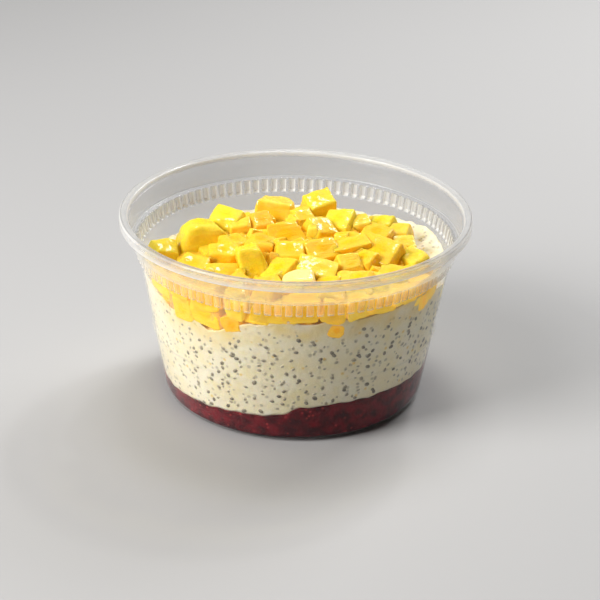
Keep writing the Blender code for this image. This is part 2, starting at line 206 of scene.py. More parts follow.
# %% A material made of such sums
class Finish:
    """A Principled material; constants go straight to the shader's own sockets."""

    def __init__(self, name, **constants):
        self.material = bpy.data.materials.new(name)
        self.material.use_nodes = True
        self.tree = self.material.node_tree
        self.shader = self.tree.nodes["Principled BSDF"]
        self.output = self.tree.nodes["Material Output"]
        for words, value in constants.items():
            self.put(self.socket(words), value)

    def socket(self, words):
        """The shader's socket of that name: base_color is Base Color."""
        return self.shader.inputs[words.replace("_", " ").title().replace("Ior", "IOR")]

    def put(self, socket, value):
        """Link a wire, or set a plain value; three numbers are a colour."""
        if isinstance(value, Wire):
            self.tree.links.new(value.socket, socket)
        elif isinstance(value, tuple) and len(value) == 3 and socket.type == 'RGBA':
            socket.default_value = (*value, 1.0)
        else:
            socket.default_value = value

    def node(self, kind, settings=None, sockets=None, out=0):
        """Any node: its settings come first, then what goes into its sockets."""
        made = self.tree.nodes.new(kind)
        for setting, value in (settings or {}).items():
            setattr(made, setting, value)
        for socket, value in (sockets or {}).items():
            self.put(made.inputs[socket], value)
        return Wire(self, made.outputs[out])

    def place(self):
        """Where a point lies on its piece, in metres."""
        return self.node('ShaderNodeTexCoord', out="Object")

    def noise(self, size, detail, place=None, stretch=(1, 1, 1)):
        """Cloudy noise whose blobs are about size across, from 0 to 1."""
        spot = self.node('ShaderNodeMapping', {}, {"Vector": place or self.place(), "Scale": stretch})
        return self.node('ShaderNodeTexNoise', {}, {"Vector": spot, "Scale": 1 / size, "Detail": detail})

    def cells(self, size):
        """Round cells about size apart: how far each point is from its cell's middle, in cells."""
        sockets = {"Vector": self.place(), "Scale": 1 / size}
        return self.node('ShaderNodeTexVoronoi', {}, sockets, out="Distance")

    def mark(self, name, out="Fac"):
        """A number or a vector that the mesh holds for each point; a mesh without it gives 0."""
        return self.node('ShaderNodeAttribute', {"attribute_name": name}, out=out)

    def step(self, value, low, high):
        """Smoothly from 0 at low to 1 at high; low above high turns it round."""
        return self.node('ShaderNodeMapRange', {"interpolation_type": 'SMOOTHSTEP'},
                         {"Value": value, "From Min": low, "From Max": high})

    def mix(self, factor, first, second):
        """A blend of two colours."""
        return self.node('ShaderNodeMix', {"data_type": 'RGBA'}, {0: factor, 6: first, 7: second}, out=2)

    def film(self, kind, colour):
        """A thin layer of one plain colour, Transparent or Translucent."""
        return self.node('ShaderNodeBsdf' + kind, {}, {"Color": colour})

    def blend(self, factor, first, second):
        """A blend of two shaders."""
        return self.node('ShaderNodeMixShader', {}, {0: factor, 1: first, 2: second})

    def bump(self, height, depth, below=None):
        """Relief of this depth, on top of what is below."""
        sockets = {"Height": height, "Distance": depth}
        if below:
            sockets["Normal"] = below
        return self.node('ShaderNodeBump', {}, sockets)

    def drive(self, **wires):
        """Link what changes over the surface, and give the finished material."""
        for words, wire in wires.items():
            self.put(self.socket(words), wire)
        print("finish", self.material.name, "has", len(self.tree.nodes), "nodes")
        return self.material


print("shader sums are ready")

# %% [markdown]
# ## The camera
#
# The picture is taken from 25 degrees above, from 0.6 m away, with a long lens. The frame is 600 pixels
# square, and a lens can be given in those pixels: focal length over frame width, times the width of the
# sensor. The cup's axis lies slightly left of the frame's middle, which is a small shift of the lens, and
# the camera is rolled by one degree.

# %% Camera
FRAME_PX = 600
FOCAL_PX = 1772.5
AXIS_PX = (294.33, 300.09)      # where the cup's axis is met, at the height that is looked at
DISTANCE = 0.60156
LOOK_HEIGHT = 0.0302
ELEVATION = math.radians(25.3)
ROLL = math.radians(1.1)
SENSOR_WIDTH = 36               # in millimetres, as the lens is

forward = Vector((0, math.cos(ELEVATION), -math.sin(ELEVATION)))
level = Vector((1, 0, 0))
upward = level.cross(forward)
side_way = level * math.cos(ROLL) + upward * math.sin(ROLL)
up_way = upward * math.cos(ROLL) - level * math.sin(ROLL)
facing = Matrix((side_way, up_way, -forward)).transposed().to_4x4()
spot = Vector((0, 0, LOOK_HEIGHT)) - forward * DISTANCE
camera = bpy.data.objects.new("camera", bpy.data.cameras.new("camera"))
camera.data.sensor_width = SENSOR_WIDTH
camera.data.lens = FOCAL_PX / FRAME_PX * SENSOR_WIDTH
camera.data.shift_x = 0.5 - AXIS_PX[0] / FRAME_PX
camera.data.shift_y = AXIS_PX[1] / FRAME_PX - 0.5
camera.matrix_world = Matrix.Translation(spot) @ facing
bpy.context.scene.collection.objects.link(camera)
bpy.context.scene.camera = camera
print("lens", round(camera.data.lens, 1), "mm")

# %% [markdown]
# ## The cup's walls, as numbers
#
# All the pieces share the cup's walls, so their sizes come first. The wall is a straight taper, and the
# filling reaches just into it. Real plastic touches wet food with no air between, and a gap, however
# thin, would mirror the light and turn the food grey.

# %% Sizes of the cup
cup_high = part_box("container")[1]
CUP_HEIGHT = cup_high.z
RIM_RADIUS = cup_high.x
BASE_RADIUS = 43.7 * MM         # where the wall's taper would meet the table
BASE_RAISE = 0.6 * MM           # the base's middle stands clear of the table
BASE_CORNER = 3.0 * MM          # the rounding between base and wall
TAPER = 8.53 / 50               # how much the wall widens for each unit of height
WALL = 0.65 * MM
FLOOR = 1.4 * MM
INTO_WALL = 0.12 * MM           # how far the filling reaches into the wall


def outer_radius(z):
    """The tapered wall's outside at a height: base + taper * z."""
    return BASE_RADIUS + TAPER * z


def inner_radius(z, wall=WALL, floor=FLOOR):
    """The room inside at a height, less the rounding q - sqrt(q^2 - d^2) at a depth d in the corner."""
    corner = BASE_CORNER - wall
    depth = np.clip(floor + corner - z, 0, corner)
    return outer_radius(z) - wall - (corner - np.sqrt(corner ** 2 - depth ** 2))


print("rim", round(2 * RIM_RADIUS / MM, 1), "mm across,", round(CUP_HEIGHT / MM, 1), "mm high")

# %% [markdown]
# ## The section of the cup
#
# A moulded cup is one thin skin, so its section is a list of corners, each with its own rounding. The
# rounding is a short parabola: at share t it is (1-t)^2 of the point before the corner, 2t(1-t) of the
# corner and t^2 of the point after it. Extra rows are laid where the ribs are pressed, so that the mesh
# can bend there.

# %% Turn rounded corners into a line
ROUNDING_STEPS = 3


def rounded(corners):
    """(radius, height, rounding) rows to points: a corner with a rounding becomes a small parabola."""
    line = []
    spots = [np.array(corner[:2]) for corner in corners]
    for index, (radius, height, soft) in enumerate(corners):
        spot = spots[index]
        if not soft:
            line.append(spot)
            continue
        before = spots[index - 1] - spot
        after = spots[index + 1] - spot
        enter = spot + before / np.linalg.norm(before) * soft * MM
        leave = spot + after / np.linalg.norm(after) * soft * MM
        for share in np.linspace(0, 1, ROUNDING_STEPS + 1):
            line.append((1 - share) ** 2 * enter + 2 * share * (1 - share) * spot + share ** 2 * leave)
    return np.array(line)


def in_metres(corners):
    """(radius, height, rounding) rows in millimetres, with the radius and the height made metres."""
    return [(radius * MM, height * MM, soft) for radius, height, soft in corners]


def wall_rows(radius_at, heights):
    """Plain rows on a wall at these heights in millimetres."""
    return [(radius_at(height * MM), height * MM, 0) for height in heights]


square = rounded(in_metres([(0, 0, 0), (5, 0, 1.0), (5, 5, 0)]))
print("one soft corner between two sharp ones makes", len(square), "points")

# %% The cup's section
RIB_ROWS = (48.6, 48.95, 49.15, 49.35, 49.6, 49.85, 50.0, 50.15, 50.5, 51.5, 52.6, 53.2, 53.5)
RING_FOOT, RING_EDGE, RING_TOP = 22.9 * MM, 24.2 * MM, 27.0 * MM    # the stacking ring's three heights

top = CUP_HEIGHT / MM
base = [(0.0, BASE_RAISE / MM, 0), (37.0, BASE_RAISE / MM, 0.3), (37.6, 0.0, 0.3),
        (BASE_RADIUS / MM, 0.0, 2.6)]
ring = [(outer_radius(RING_FOOT), RING_FOOT, 0.5), (outer_radius(RING_TOP), RING_EDGE, 0.3),
        (outer_radius(RING_TOP), RING_TOP, 0.5)]
rim = [(53.0, 53.85, 0.1), (54.75, 54.05, 0.3), (56.25, top - 1.15, 0.4), (57.85, top - 1.05, 0.3),
       (57.85, top - 3.1, 0.2), (58.5, top - 3.1, 0.2), (58.5, top - 0.15, 0.75), (57.5, top + 0.1, 0.5),
       (56.3, top - 0.25, 0.3), (55.75, top - 0.6, 0.3), (55.5, top - 2.2, 0.15), (55.2, top - 2.4, 0.15),
       (54.0, 54.4, 0.3), (52.5, 54.15, 0.2)]
outside = in_metres(base) + ring + wall_rows(outer_radius, RIB_ROWS)
inside = wall_rows(lambda z: outer_radius(z) - WALL, RIB_ROWS[::-1])
inside += [(outer_radius(FLOOR) - WALL, FLOOR, 2.0), (0.0, FLOOR, 0)]
section = rounded(outside + in_metres(rim) + inside)[1:-1]
print("section of", len(section), "points")

# %% [markdown]
# ## Ribs pressed into the wall
#
# The band under the ledge has a hundred small pockets pressed outwards, which stiffen the cup. They are
# not separate pieces: the wall itself bulges, inside and outside alike. So the whole cup is one grid, and
# each column moves out by the depth times a mask that is 1 on a rib and 0 in a gap. The columns stand
# close together on a rib's flanks and far apart elsewhere, which keeps the mesh light.

# %% The cup's grid
RIB_COUNT = 100
RIB_DEPTH = 0.85 * MM
RIB_FLANKS = ((0.14, 0.27), (0.73, 0.86))   # where a rib rises and falls, in shares of the pitch
RIB_FOOT = (48.9 * MM, 49.65 * MM)          # heights between which the ribs swell out of the wall
RIB_TOP = (53.5 * MM, 53.75 * MM)           # and between which they end, under the ledge
BEAD_HEIGHT = 50.0 * MM                     # a fine bead joins the ribs, just above their feet
BEAD_DEPTH, BEAD_REACH = 0.14 * MM, 0.25 * MM

pitch = 360 / RIB_COUNT
columns = np.array((0.0, 0.15, 0.2, 0.26, 0.5, 0.74, 0.8, 0.85))
bearings = ((np.arange(RIB_COUNT)[:, None] + columns) * pitch).ravel()
radius, height = section[:, :1], section[:, 1:]
flank = np.tile(between(*RIB_FLANKS, columns), RIB_COUNT)
band = between(RIB_FOOT, RIB_TOP, height)
bead = BEAD_DEPTH * (1 - smooth_step(0.0, BEAD_REACH, np.abs(height - BEAD_HEIGHT)))
cup_rings = around_axis(bearings, radius + band * flank * RIB_DEPTH + bead, height)
cup_poles = np.array([(0, 0, BASE_RAISE), (0, 0, FLOOR)])
print("grid of", cup_rings.shape[0], "by", cup_rings.shape[1])

# %% [markdown]
# ## Where the layers meet
#
# The three fillings share two uneven levels. The red fruit is deeper at the right, with a small step near
# the front. The pudding's top is flat under the fruit, and pushed up and down where it meets the wall.
# Both are formulas of the bearing and of the share of the way out from the axis.

# %% The two levels
RED_LEVEL = 9.6 * MM
PUDDING_LEVEL = 42.6 * MM
PUDDING_EDGE = 0.9 * MM
FLAT_SHARE = 0.72               # out to this share the pudding's top is flat
# bearing, rise (mm) and width (degrees) of each hill or hollow of the pudding's edge
PUDDING_HILLS = ((-38, -5.6, 17), (15, 1.6, 7), (52, 0.8, 12),
                 (113, 4.0, 26), (178, 0.6, 30), (-122, -1.8, 34))


def from_front(bearing):
    """The same bearing between -180 and 180, so that the front lies in the middle."""
    return (bearing + 180) % 360 - 180


def bells(bearing, rows):
    """The sum of rise * exp(-(away / width)^2) over rows of (bearing of the middle, rise, width)."""
    return sum(rise * np.exp(-(from_front(bearing - middle) / width) ** 2) for middle, rise, width in rows)


def red_top(bearing, share):
    """Mean level, and towards the wall a tilt 1.6 sin b + 2.2 cos b + 0.6 sin 2b, a step
    1.5 tanh((b + 1) / 3) cos(b / 2) and small ripples, all in millimetres."""
    bearing = from_front(bearing)
    turn = np.radians(bearing)
    tilt = 1.6 * np.sin(turn) + 2.2 * np.cos(turn) + 0.6 * np.sin(2 * turn)
    step = 1.5 * np.tanh((bearing + 1) / 3) * np.cos(turn / 2)
    ripples = 0.25 * np.sin(turn * 23 + 1.0) * np.sin(turn * 7) + 0.15 * np.sin(turn * 41)
    return RED_LEVEL + (tilt + step + ripples) * MM * smooth_step(0, 1, share)


def pudding_top(bearing, share):
    """Flat, and from FLAT_SHARE out a straight slope to the edge's rise with its hills and hollows."""
    edge = PUDDING_EDGE + bells(bearing, PUDDING_HILLS) * MM
    return PUDDING_LEVEL + edge * np.maximum(0, share - FLAT_SHARE) / (1 - FLAT_SHARE)


all_round = np.arange(-180, 180)
for name, level_at in (("red fruit", red_top), ("pudding", pudding_top)):
    edge = level_at(all_round, 1.0) / MM
    print(name, "meets the wall from", round(edge.min(), 1), "to", round(edge.max(), 1), "mm")

# %% [markdown]
# ## Wet wall, milky edges and painted fruit light
#
# Four things change over the cup. Where food touches the inner wall, its surface is wet and hardly
# scatters or mirrors. Above that it is dry, and dims a little what lies behind. Where the plastic is thick
# or creased, at the rim, the ledge and the ribs' outlines, it looks milky. And over the fruit that leans
# on the front wall, the inside is painted golden and given a glow: painted light, for the light that comes
# through the fruit. All four are worked out on the grid and stored as marks for the finish.

# %% Where the wall is wet
FRUIT_LINE = 49.0 * MM                  # up to here the fruit touches the wall at the front
FRUIT_SIDES = ((-63, -57), (49, 55))    # bearings at which that starts and ends

signed = from_front(bearings)
at_front = between(*FRUIT_SIDES, signed)
ragged = (1.1 * np.sin(np.radians(signed) * 17) + 0.7 * np.sin(np.radians(signed) * 31 + 1)) * MM
pudding_line = pudding_top(signed, 1.0)
wet_line = pudding_line + at_front * np.maximum(FRUIT_LINE + ragged - pudding_line, 0)
inner_side = np.arange(len(section))[:, None] > section[:, 1].argmax()
wet = inner_side * (1 - smooth_step(-0.4 * MM, 0.5 * MM, height - wet_line))
print("the wall is wet up to", round(wet_line.max() / MM, 1), "mm")

# %% Where the plastic is milky
def near_line(at_radius, at_height, near, far):
    """1 within near of a line round the cup, and 0 beyond far, in millimetres."""
    away = np.hypot(radius - at_radius * MM, height - at_height * MM)
    return 1 - smooth_step(near * MM, far * MM, away)


# at the front the outlines, the ribs, the crest and the brim are less milky
outlines = 4 * flank * (1 - flank) * band * (1 - 0.45 * at_front)
ribs = flank * band * (0.35 - 0.30 * at_front)
feet = flank * between((49.0 * MM, 49.3 * MM), (49.6 * MM, 50.1 * MM), height)
ledge = 0.8 * near_line(54.75, 54.05, 0.1, 0.45)
crest = smooth_step(CUP_HEIGHT - 1.7 * MM, CUP_HEIGHT - 1.2 * MM, height) * (0.38 - 0.26 * at_front)
brim = 0.8 * near_line(58.3, top - 0.3, 0.2, 0.7) + 0.6 * near_line(55.8, top - 0.7, 0.1, 0.5)
brim = brim * (1 - 0.55 * at_front)
skirt = 0.9 * near_line(58.3, top - 3.1, 0.2, 0.6)
milky = np.clip(outlines + ribs + feet + ledge + crest + brim + skirt, 0, 1)
print("milky share", round(float(milky.mean()), 2))

# %% Where the light through the fruit is painted
FRUIT_GLOW_TOP = (55.0 * MM, 59.5 * MM)      # heights between which the painted fruit light fades
FRUIT_GLOW_SIDES = ((-78, -48), (40, 68))    # bearings at which it starts and ends

# painted golden light and glow over the fruit: from the wet line up, fading towards the top
juice_and_fruit_glow = smooth_step(wet_line - 0.5 * MM, wet_line + 0.5 * MM, height)
juice_and_fruit_glow = juice_and_fruit_glow * (1 - smooth_step(*FRUIT_GLOW_TOP, height)) * between(*FRUIT_GLOW_SIDES, signed) * inner_side
dry = inner_side * (1 - wet) * (1 - 0.7 * juice_and_fruit_glow)
cup_marks = {"wet": with_poles(wet, 1.0), "dry": with_poles(dry), "milky": with_poles(milky),
             "juice_and_fruit_glow": with_poles(juice_and_fruit_glow)}
print("shares of", {word: round(float(values.mean()), 2) for word, values in cup_marks.items()})

# %% [markdown]
# ## Clear, slightly milky plastic
#
# Such cups are polypropylene: clear, with a faint milky haze that takes the light and turns the edges
# white. Solid glass would bend and darken what is behind it. A film is closer: part Transparent, part a
# pale diffuse haze, and over both a gloss. Seen edge-on, the light passes more plastic, so haze and gloss
# grow with powers of the facing value. Over the fruit, a golden film, a golden haze and a little glow are
# painted light, for the light that comes through the fruit. Each of these shaders has one plain colour,
# and the marks only mix them.

# %% Finish: clear plastic
CLEAR_WET = (0.98, 0.98, 0.98)
CLEAR_DRY = (0.77, 0.775, 0.78)
CLEAR_FRUIT_GLOW = (1.0, 0.92, 0.56)
MILK = (0.93, 0.94, 0.95)
MILK_FRUIT_GLOW = (0.98, 0.80, 0.40)
PAINTED_FRUIT_GLOW = (1.0, 0.79, 0.32)
WHITE, BLACK = (1, 1, 1), (0, 0, 0)


def clear_plastic():
    """Clear film, milk and gloss, mixed by the angle and by the marks on the cup."""
    finish = Finish("clear_plastic", roughness=0.5, emission_strength=0.3)
    wet, dry, juice_and_fruit_glow = finish.mark("wet"), finish.mark("dry"), finish.mark("juice_and_fruit_glow")
    edge_on = finish.node('ShaderNodeLayerWeight', {}, {"Blend": 0.5}, out="Facing")
    window = finish.blend(dry, finish.film('Transparent', CLEAR_WET), finish.film('Transparent', CLEAR_DRY))
    # over the fruit a golden film: painted light that comes through the fruit
    window = finish.blend(juice_and_fruit_glow, window, finish.film('Transparent', CLEAR_FRUIT_GLOW))
    through = finish.blend(juice_and_fruit_glow, finish.film('Translucent', MILK), finish.film('Translucent', MILK_FRUIT_GLOW))
    milk = finish.blend(0.4, Wire(finish, finish.shader.outputs[0]), through)
    smears = finish.step(finish.noise(7 * MM, 4), 0.4, 0.8)
    haze = 0.02 + dry * (0.05 + smears * 0.07) + finish.mark("milky") * 0.7 + juice_and_fruit_glow * 0.25
    haze = haze + edge_on ** 3 * 0.3 * (1 - wet)
    ripple = finish.bump(finish.noise(12 * MM, 2), 0.08 * MM)
    sockets = {"Color": WHITE, "Roughness": 0.16, "Normal": ripple}
    gloss = finish.node('ShaderNodeBsdfAnisotropic', {}, sockets)
    mirror = (0.022 + edge_on ** 5 * 0.6) * (1 - wet)
    whole = finish.blend(mirror, finish.blend(haze, window, milk), gloss)
    finish.put(finish.output.inputs["Surface"], whole)
    # over the fruit a golden milk and a glow: painted light that comes through the fruit
    return finish.drive(base_color=finish.mix(juice_and_fruit_glow, MILK, MILK_FRUIT_GLOW),
                        emission_color=finish.mix(juice_and_fruit_glow, BLACK, PAINTED_FRUIT_GLOW))


cup = turned("cup_clear", cup_rings, cup_poles, clear_plastic(), cup_marks)
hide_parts("container")
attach(cup, "root")

# %% [markdown]
# ## A layer as a stack of rings
#
# A layer is a grid of bearing and row. Each row says how far out it lies (share) and how far up between
# the layer's two faces (rise), so one table of rows walks along the underside, up the side and back over
# the top.

# %% Make a layer
def layer_rows(low, side, high):
    """(share, rise) rows: out along the bottom, up the side, and in along the top."""
    bottom = [(share, 0.0) for share in np.linspace(0, 1, low + 1)[1:]]
    wall = [(1.0, rise) for rise in np.linspace(0, 1, side + 1)[1:-1]]
    over = [(share, 1.0) for share in np.linspace(1, 0, high + 1)[:-1]]
    return np.array(bottom + wall + over)


def layer(rows, bearings, floor_at, top_at, wall, floor):
    """Rings between two level functions: height = low + (high - low) * rise, and radius = share of the
    room left by a wall and a floor of these thicknesses."""
    share, rise = rows[:, :1], rows[:, 1:]
    low, high = floor_at(bearings, share), top_at(bearings, share)
    height = low + (high - low) * rise
    return around_axis(bearings, share * inner_radius(height, wall, floor), height)


round_about = np.linspace(0, 360, 480, endpoint=False)
print("layers have", len(round_about), "columns")

# %% [markdown]
# ## Red fruit
#
# The lowest layer is cooked red fruit. It is deep crimson, wet, with brighter pips and pulp pressed
# against the wall. Cells of a Voronoi texture make the pips, and noise makes the clouds. The colour sinks
# in a little, so some light goes under the surface.

# %% Finish: red fruit
CRIMSON_DARK = (0.055, 0.002, 0.006)
CRIMSON = (0.20, 0.006, 0.014)
PIP_RED = (0.55, 0.05, 0.05)


def red_fruit():
    """Dark crimson with brighter pips, which only show in patches."""
    finish = Finish("red_fruit", roughness=0.5, specular_ior_level=0.0, subsurface_weight=0.25,
                    subsurface_radius=(1.0, 0.15, 0.1), subsurface_scale=1.2 * MM)
    clouds = finish.step(finish.noise(3.5 * MM, 4), 0.35, 0.68)
    pips = finish.step(finish.cells(1.9 * MM), 0.3, 0.12)
    patches = finish.step(finish.noise(6 * MM, 1), 0.42, 0.6)
    base = finish.mix(clouds, CRIMSON_DARK, CRIMSON)
    base = finish.mix(pips * patches * 0.8, base, PIP_RED)
    relief = finish.bump(finish.noise(1.6 * MM, 3), 0.25 * MM)
    return finish.drive(base_color=base, normal=relief)


# %% The red layer
RED_WALL = WALL - 0.3 * MM       # the plastic that is left clear outside the red layer
RED_FLOOR = FLOOR - 0.9 * MM     # and below it


def red_bottom(bearing, share):
    """Flat, just into the cup's floor."""
    return np.full(np.broadcast(bearing, share).shape, RED_FLOOR)


red_rows = layer_rows(low=6, side=30, high=16)
red_rings = layer(red_rows, round_about, red_bottom, red_top, RED_WALL, RED_FLOOR)
red_poles = np.array([(0, 0, RED_FLOOR), (0, 0, RED_LEVEL)])
red = turned("red_fruit_layer_wet", red_rings, red_poles, red_fruit())
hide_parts("red_fruit_layer")
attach(red, "root")

# %% [markdown]
# ## Pudding
#
# Soaked chia seeds float in a cream the colour of custard. The nearest seeds touch the wall and are real
# little bodies, made further down. The ones behind them only show as soft grey spots, so they belong to
# the finish: a slice through round cells in space gives spots of every size, as a slice through the
# pudding would. Near the fruit, its juice stains the cream, and the open top has a wet coat.

# %% Finish: pudding
CUSTARD = (0.95, 0.84, 0.57)
CUSTARD_LIGHT = (0.98, 0.90, 0.69)
CUSTARD_WARM = (0.94, 0.81, 0.44)
DEEP_SEED = (0.36, 0.33, 0.25)
YELLOW_FLECK = (0.88, 0.58, 0.08)
JUICE_STAIN = (0.92, 0.68, 0.22)


def pudding_cream():
    """Pale custard with soft deep seeds, a few yellow flecks and a stain of juice."""
    finish = Finish("pudding_cream", roughness=0.45, specular_ior_level=0.0, subsurface_weight=0.3,
                    subsurface_radius=(1.0, 0.75, 0.35), subsurface_scale=2.0 * MM, coat_roughness=0.12)
    clouds = finish.step(finish.noise(11 * MM, 3), 0.3, 0.7)
    warm = finish.step(finish.noise(4 * MM, 2), 0.45, 0.75)
    bend = finish.noise(1.4 * MM, 1)
    deep = finish.step(finish.cells(3.1 * MM) + bend * 0.22, 0.38, 0.22)
    flecks = finish.step(finish.cells(5.3 * MM) + bend * 0.1, 0.2, 0.12)
    base = finish.mix(clouds, CUSTARD, CUSTARD_LIGHT)
    base = finish.mix(warm * 0.5, base, CUSTARD_WARM)
    base = finish.mix(deep * 0.55, base, DEEP_SEED)
    base = finish.mix(flecks * 0.6, base, YELLOW_FLECK)
    # on the pudding this mark is only a stain of juice
    base = finish.mix(finish.mark("juice_and_fruit_glow") * 0.75, base, JUICE_STAIN)
    relief = finish.bump(finish.noise(2.2 * MM, 3), 0.25 * MM)
    return finish.drive(base_color=base, normal=relief, coat_weight=finish.mark("bare") * 0.5)


# %% The pudding's surface
LIP = 0.3                       # how far the cream clings up the wall all round, in millimetres
TOP_RADIUS = 50 * MM            # about how wide the pudding's top is
# bearing, rise (mm) and width (degrees) of each bell of cream squeezed up between fruit and plastic
SQUEEZED = ((-78, 4.2, 13), (-43, 2.8, 7), (-39, 1.7, 4), (-19, 1.6, 6), (-2, 3.0, 10),
            (16, 1.8, 5), (27, 2.4, 9), (42, 2.6, 9), (56, 3.0, 9))


def bare_top(bearing, share):
    """The pudding's level with spoon marks, waves of 0.5 mm about 9 mm apart and of 0.2 mm about 3.5 mm
    apart, and right at the wall the lip and the squeezed bells."""
    level = pudding_top(bearing, share)
    spots = around_axis(bearing, share * TOP_RADIUS, level)
    marks = 0.5 * waves(spots, 9 * MM, 3) + 0.2 * waves(spots, 3.5 * MM, 4)
    edge = LIP + bells(bearing, SQUEEZED)
    level = level + marks * MM * smooth_step(0.0, 0.03, 1.02 - share)
    return level + edge * MM * smooth_step(0.985, 1, share)


pudding_rows = layer_rows(low=14, side=44, high=80)
pudding_rings = layer(pudding_rows, round_about, red_top, bare_top, WALL - INTO_WALL, FLOOR)
pudding_poles = np.array([(0, 0, RED_LEVEL), (0, 0, PUDDING_LEVEL)])
print("pudding up to", round(pudding_rings[..., 2].max() / MM, 1), "mm")

# %% The pudding's marks
BARE_RADIUS = 49.5 * MM                 # inside this the top is open, not against the wall
STAIN_DEPTH = (-10.0 * MM, -1.0 * MM)   # from the edge down, the juice fades over these heights
STAIN_SIDES = ((-66, -56), (52, 64))    # bearings at which the stain starts and ends

out, high = np.hypot(pudding_rings[..., 0], pudding_rings[..., 1]), pudding_rings[..., 2]
bare = (high > PUDDING_LEVEL - 2 * MM) * (out < BARE_RADIUS)
stained = smooth_step(*STAIN_DEPTH, high - bare_top(round_about, 1.0))
stained = stained * between(*STAIN_SIDES, from_front(round_about))
stained = stained * np.clip(0.7 + 0.4 * waves(pudding_rings, 7 * MM, 9), 0, 1)
pudding_marks = {"bare": with_poles(bare, 1.0), "juice_and_fruit_glow": with_poles(stained, 1.0)}
pudding = turned("pudding", pudding_rings, pudding_poles, pudding_cream(), pudding_marks)
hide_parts("chia_pudding")
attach(pudding, "root")

# %% [markdown]
# ## Mango
#
# Ripe mango cut by hand into dice. No two have the same size, the cuts are not square, and the corners
# are soft and wet. One rounded cube is worked out once and welded; each die then bends its own copy by
# its own eight corners. A die that touches the cup is pressed flat against it, as the real ones are.

# %% A rounded cube to start from
def soft_cube(cells=14):
    """A closed grid over a cube from -1 to 1: six square grids whose shared edges are welded. Its lines lie
    at (u + sin(u pi / 2)) / 2 for even steps u, so they stand closer together near the cube's edges."""
    even = np.linspace(-1, 1, cells + 1)
    line = (even + np.sin(even * math.pi / 2)) / 2
    u, v = np.meshgrid(line, line, indexing='ij')
    one = np.ones_like(u)
    sides = [(one, u, v), (-one, v, u), (v, one, u), (u, -one, v), (u, v, one), (v, u, -one)]
    points = np.stack([np.stack(side, axis=-1) for side in sides]).reshape(-1, 3)
    grid = np.arange(6 * (cells + 1) ** 2).reshape(6, cells + 1, cells + 1)
    quads = np.stack([grid[:, :-1, :-1], grid[:, 1:, :-1], grid[:, 1:, 1:], grid[:, :-1, 1:]], axis=-1)
    welded, index = np.unique(np.round(points, 6), axis=0, return_inverse=True)
    return welded, index.reshape(-1)[quads.reshape(-1, 4)]


CUBE, CUBE_FACES = soft_cube()
print("a die has", len(CUBE), "points")

# %% Soften it and bend it
def soften(cube, soft):
    """Round a cube's edges: pull each point in to the inner box, then push it out by the rounding."""
    core = np.clip(cube, -(1 - soft), 1 - soft)
    away = cube - core
    return core + away / np.maximum(np.linalg.norm(away, axis=1, keepdims=True), 1e-9) * soft


def bend_by_corners(points, shifts):
    """Move points by a blend of shifts at the cube's eight corners, weighted by how near each is."""
    weights = 1.0
    for axis in range(3):
        share = (points[:, axis] + 1) / 2
        pair = np.stack([1 - share, share], axis=-1)
        weights = pair if axis == 0 else (weights[:, :, None] * pair[:, None, :]).reshape(len(points), -1)
    return points + weights @ shifts


print("softened, its corners are", round(float(np.linalg.norm(soften(CUBE, 0.3), axis=1).max()), 2), "out")

# %% [markdown]
# ## Laying the dice
#
# The dice on top are laid one by one: a row each, with its place, size, turn and lean. Their heights come
# from a low dome, so the heap keeps its form from every side. The dice that press against the cup have a
# table too, with a tilt each, and two rows of dice stand behind them. Crumbs lie between the dice, and a
# plainer layer beneath. The tones are y for yellow, o for orange, p for pale, c for cream, g for greenish
# and l for lemon.

# %% The dice on top
HEAP_LEVEL = 46.5 * MM          # the dome's height at its edge
HEAP_DOME = 9.0 * MM            # and how much higher its middle is
HEAP_SPREAD = 47.0 * MM
HEAP_CENTRE = (1.0 * MM, 5.0 * MM)
# how ripe each tone is, from greenish at 0 to orange at 1, and how pale
TONES = {"y": (0.5, 0.05), "o": (0.85, 0.0), "p": (0.4, 0.65), "g": (-0.1, 0.15), "l": (0.12, 0.1),
         "c": (0.3, 1.2)}

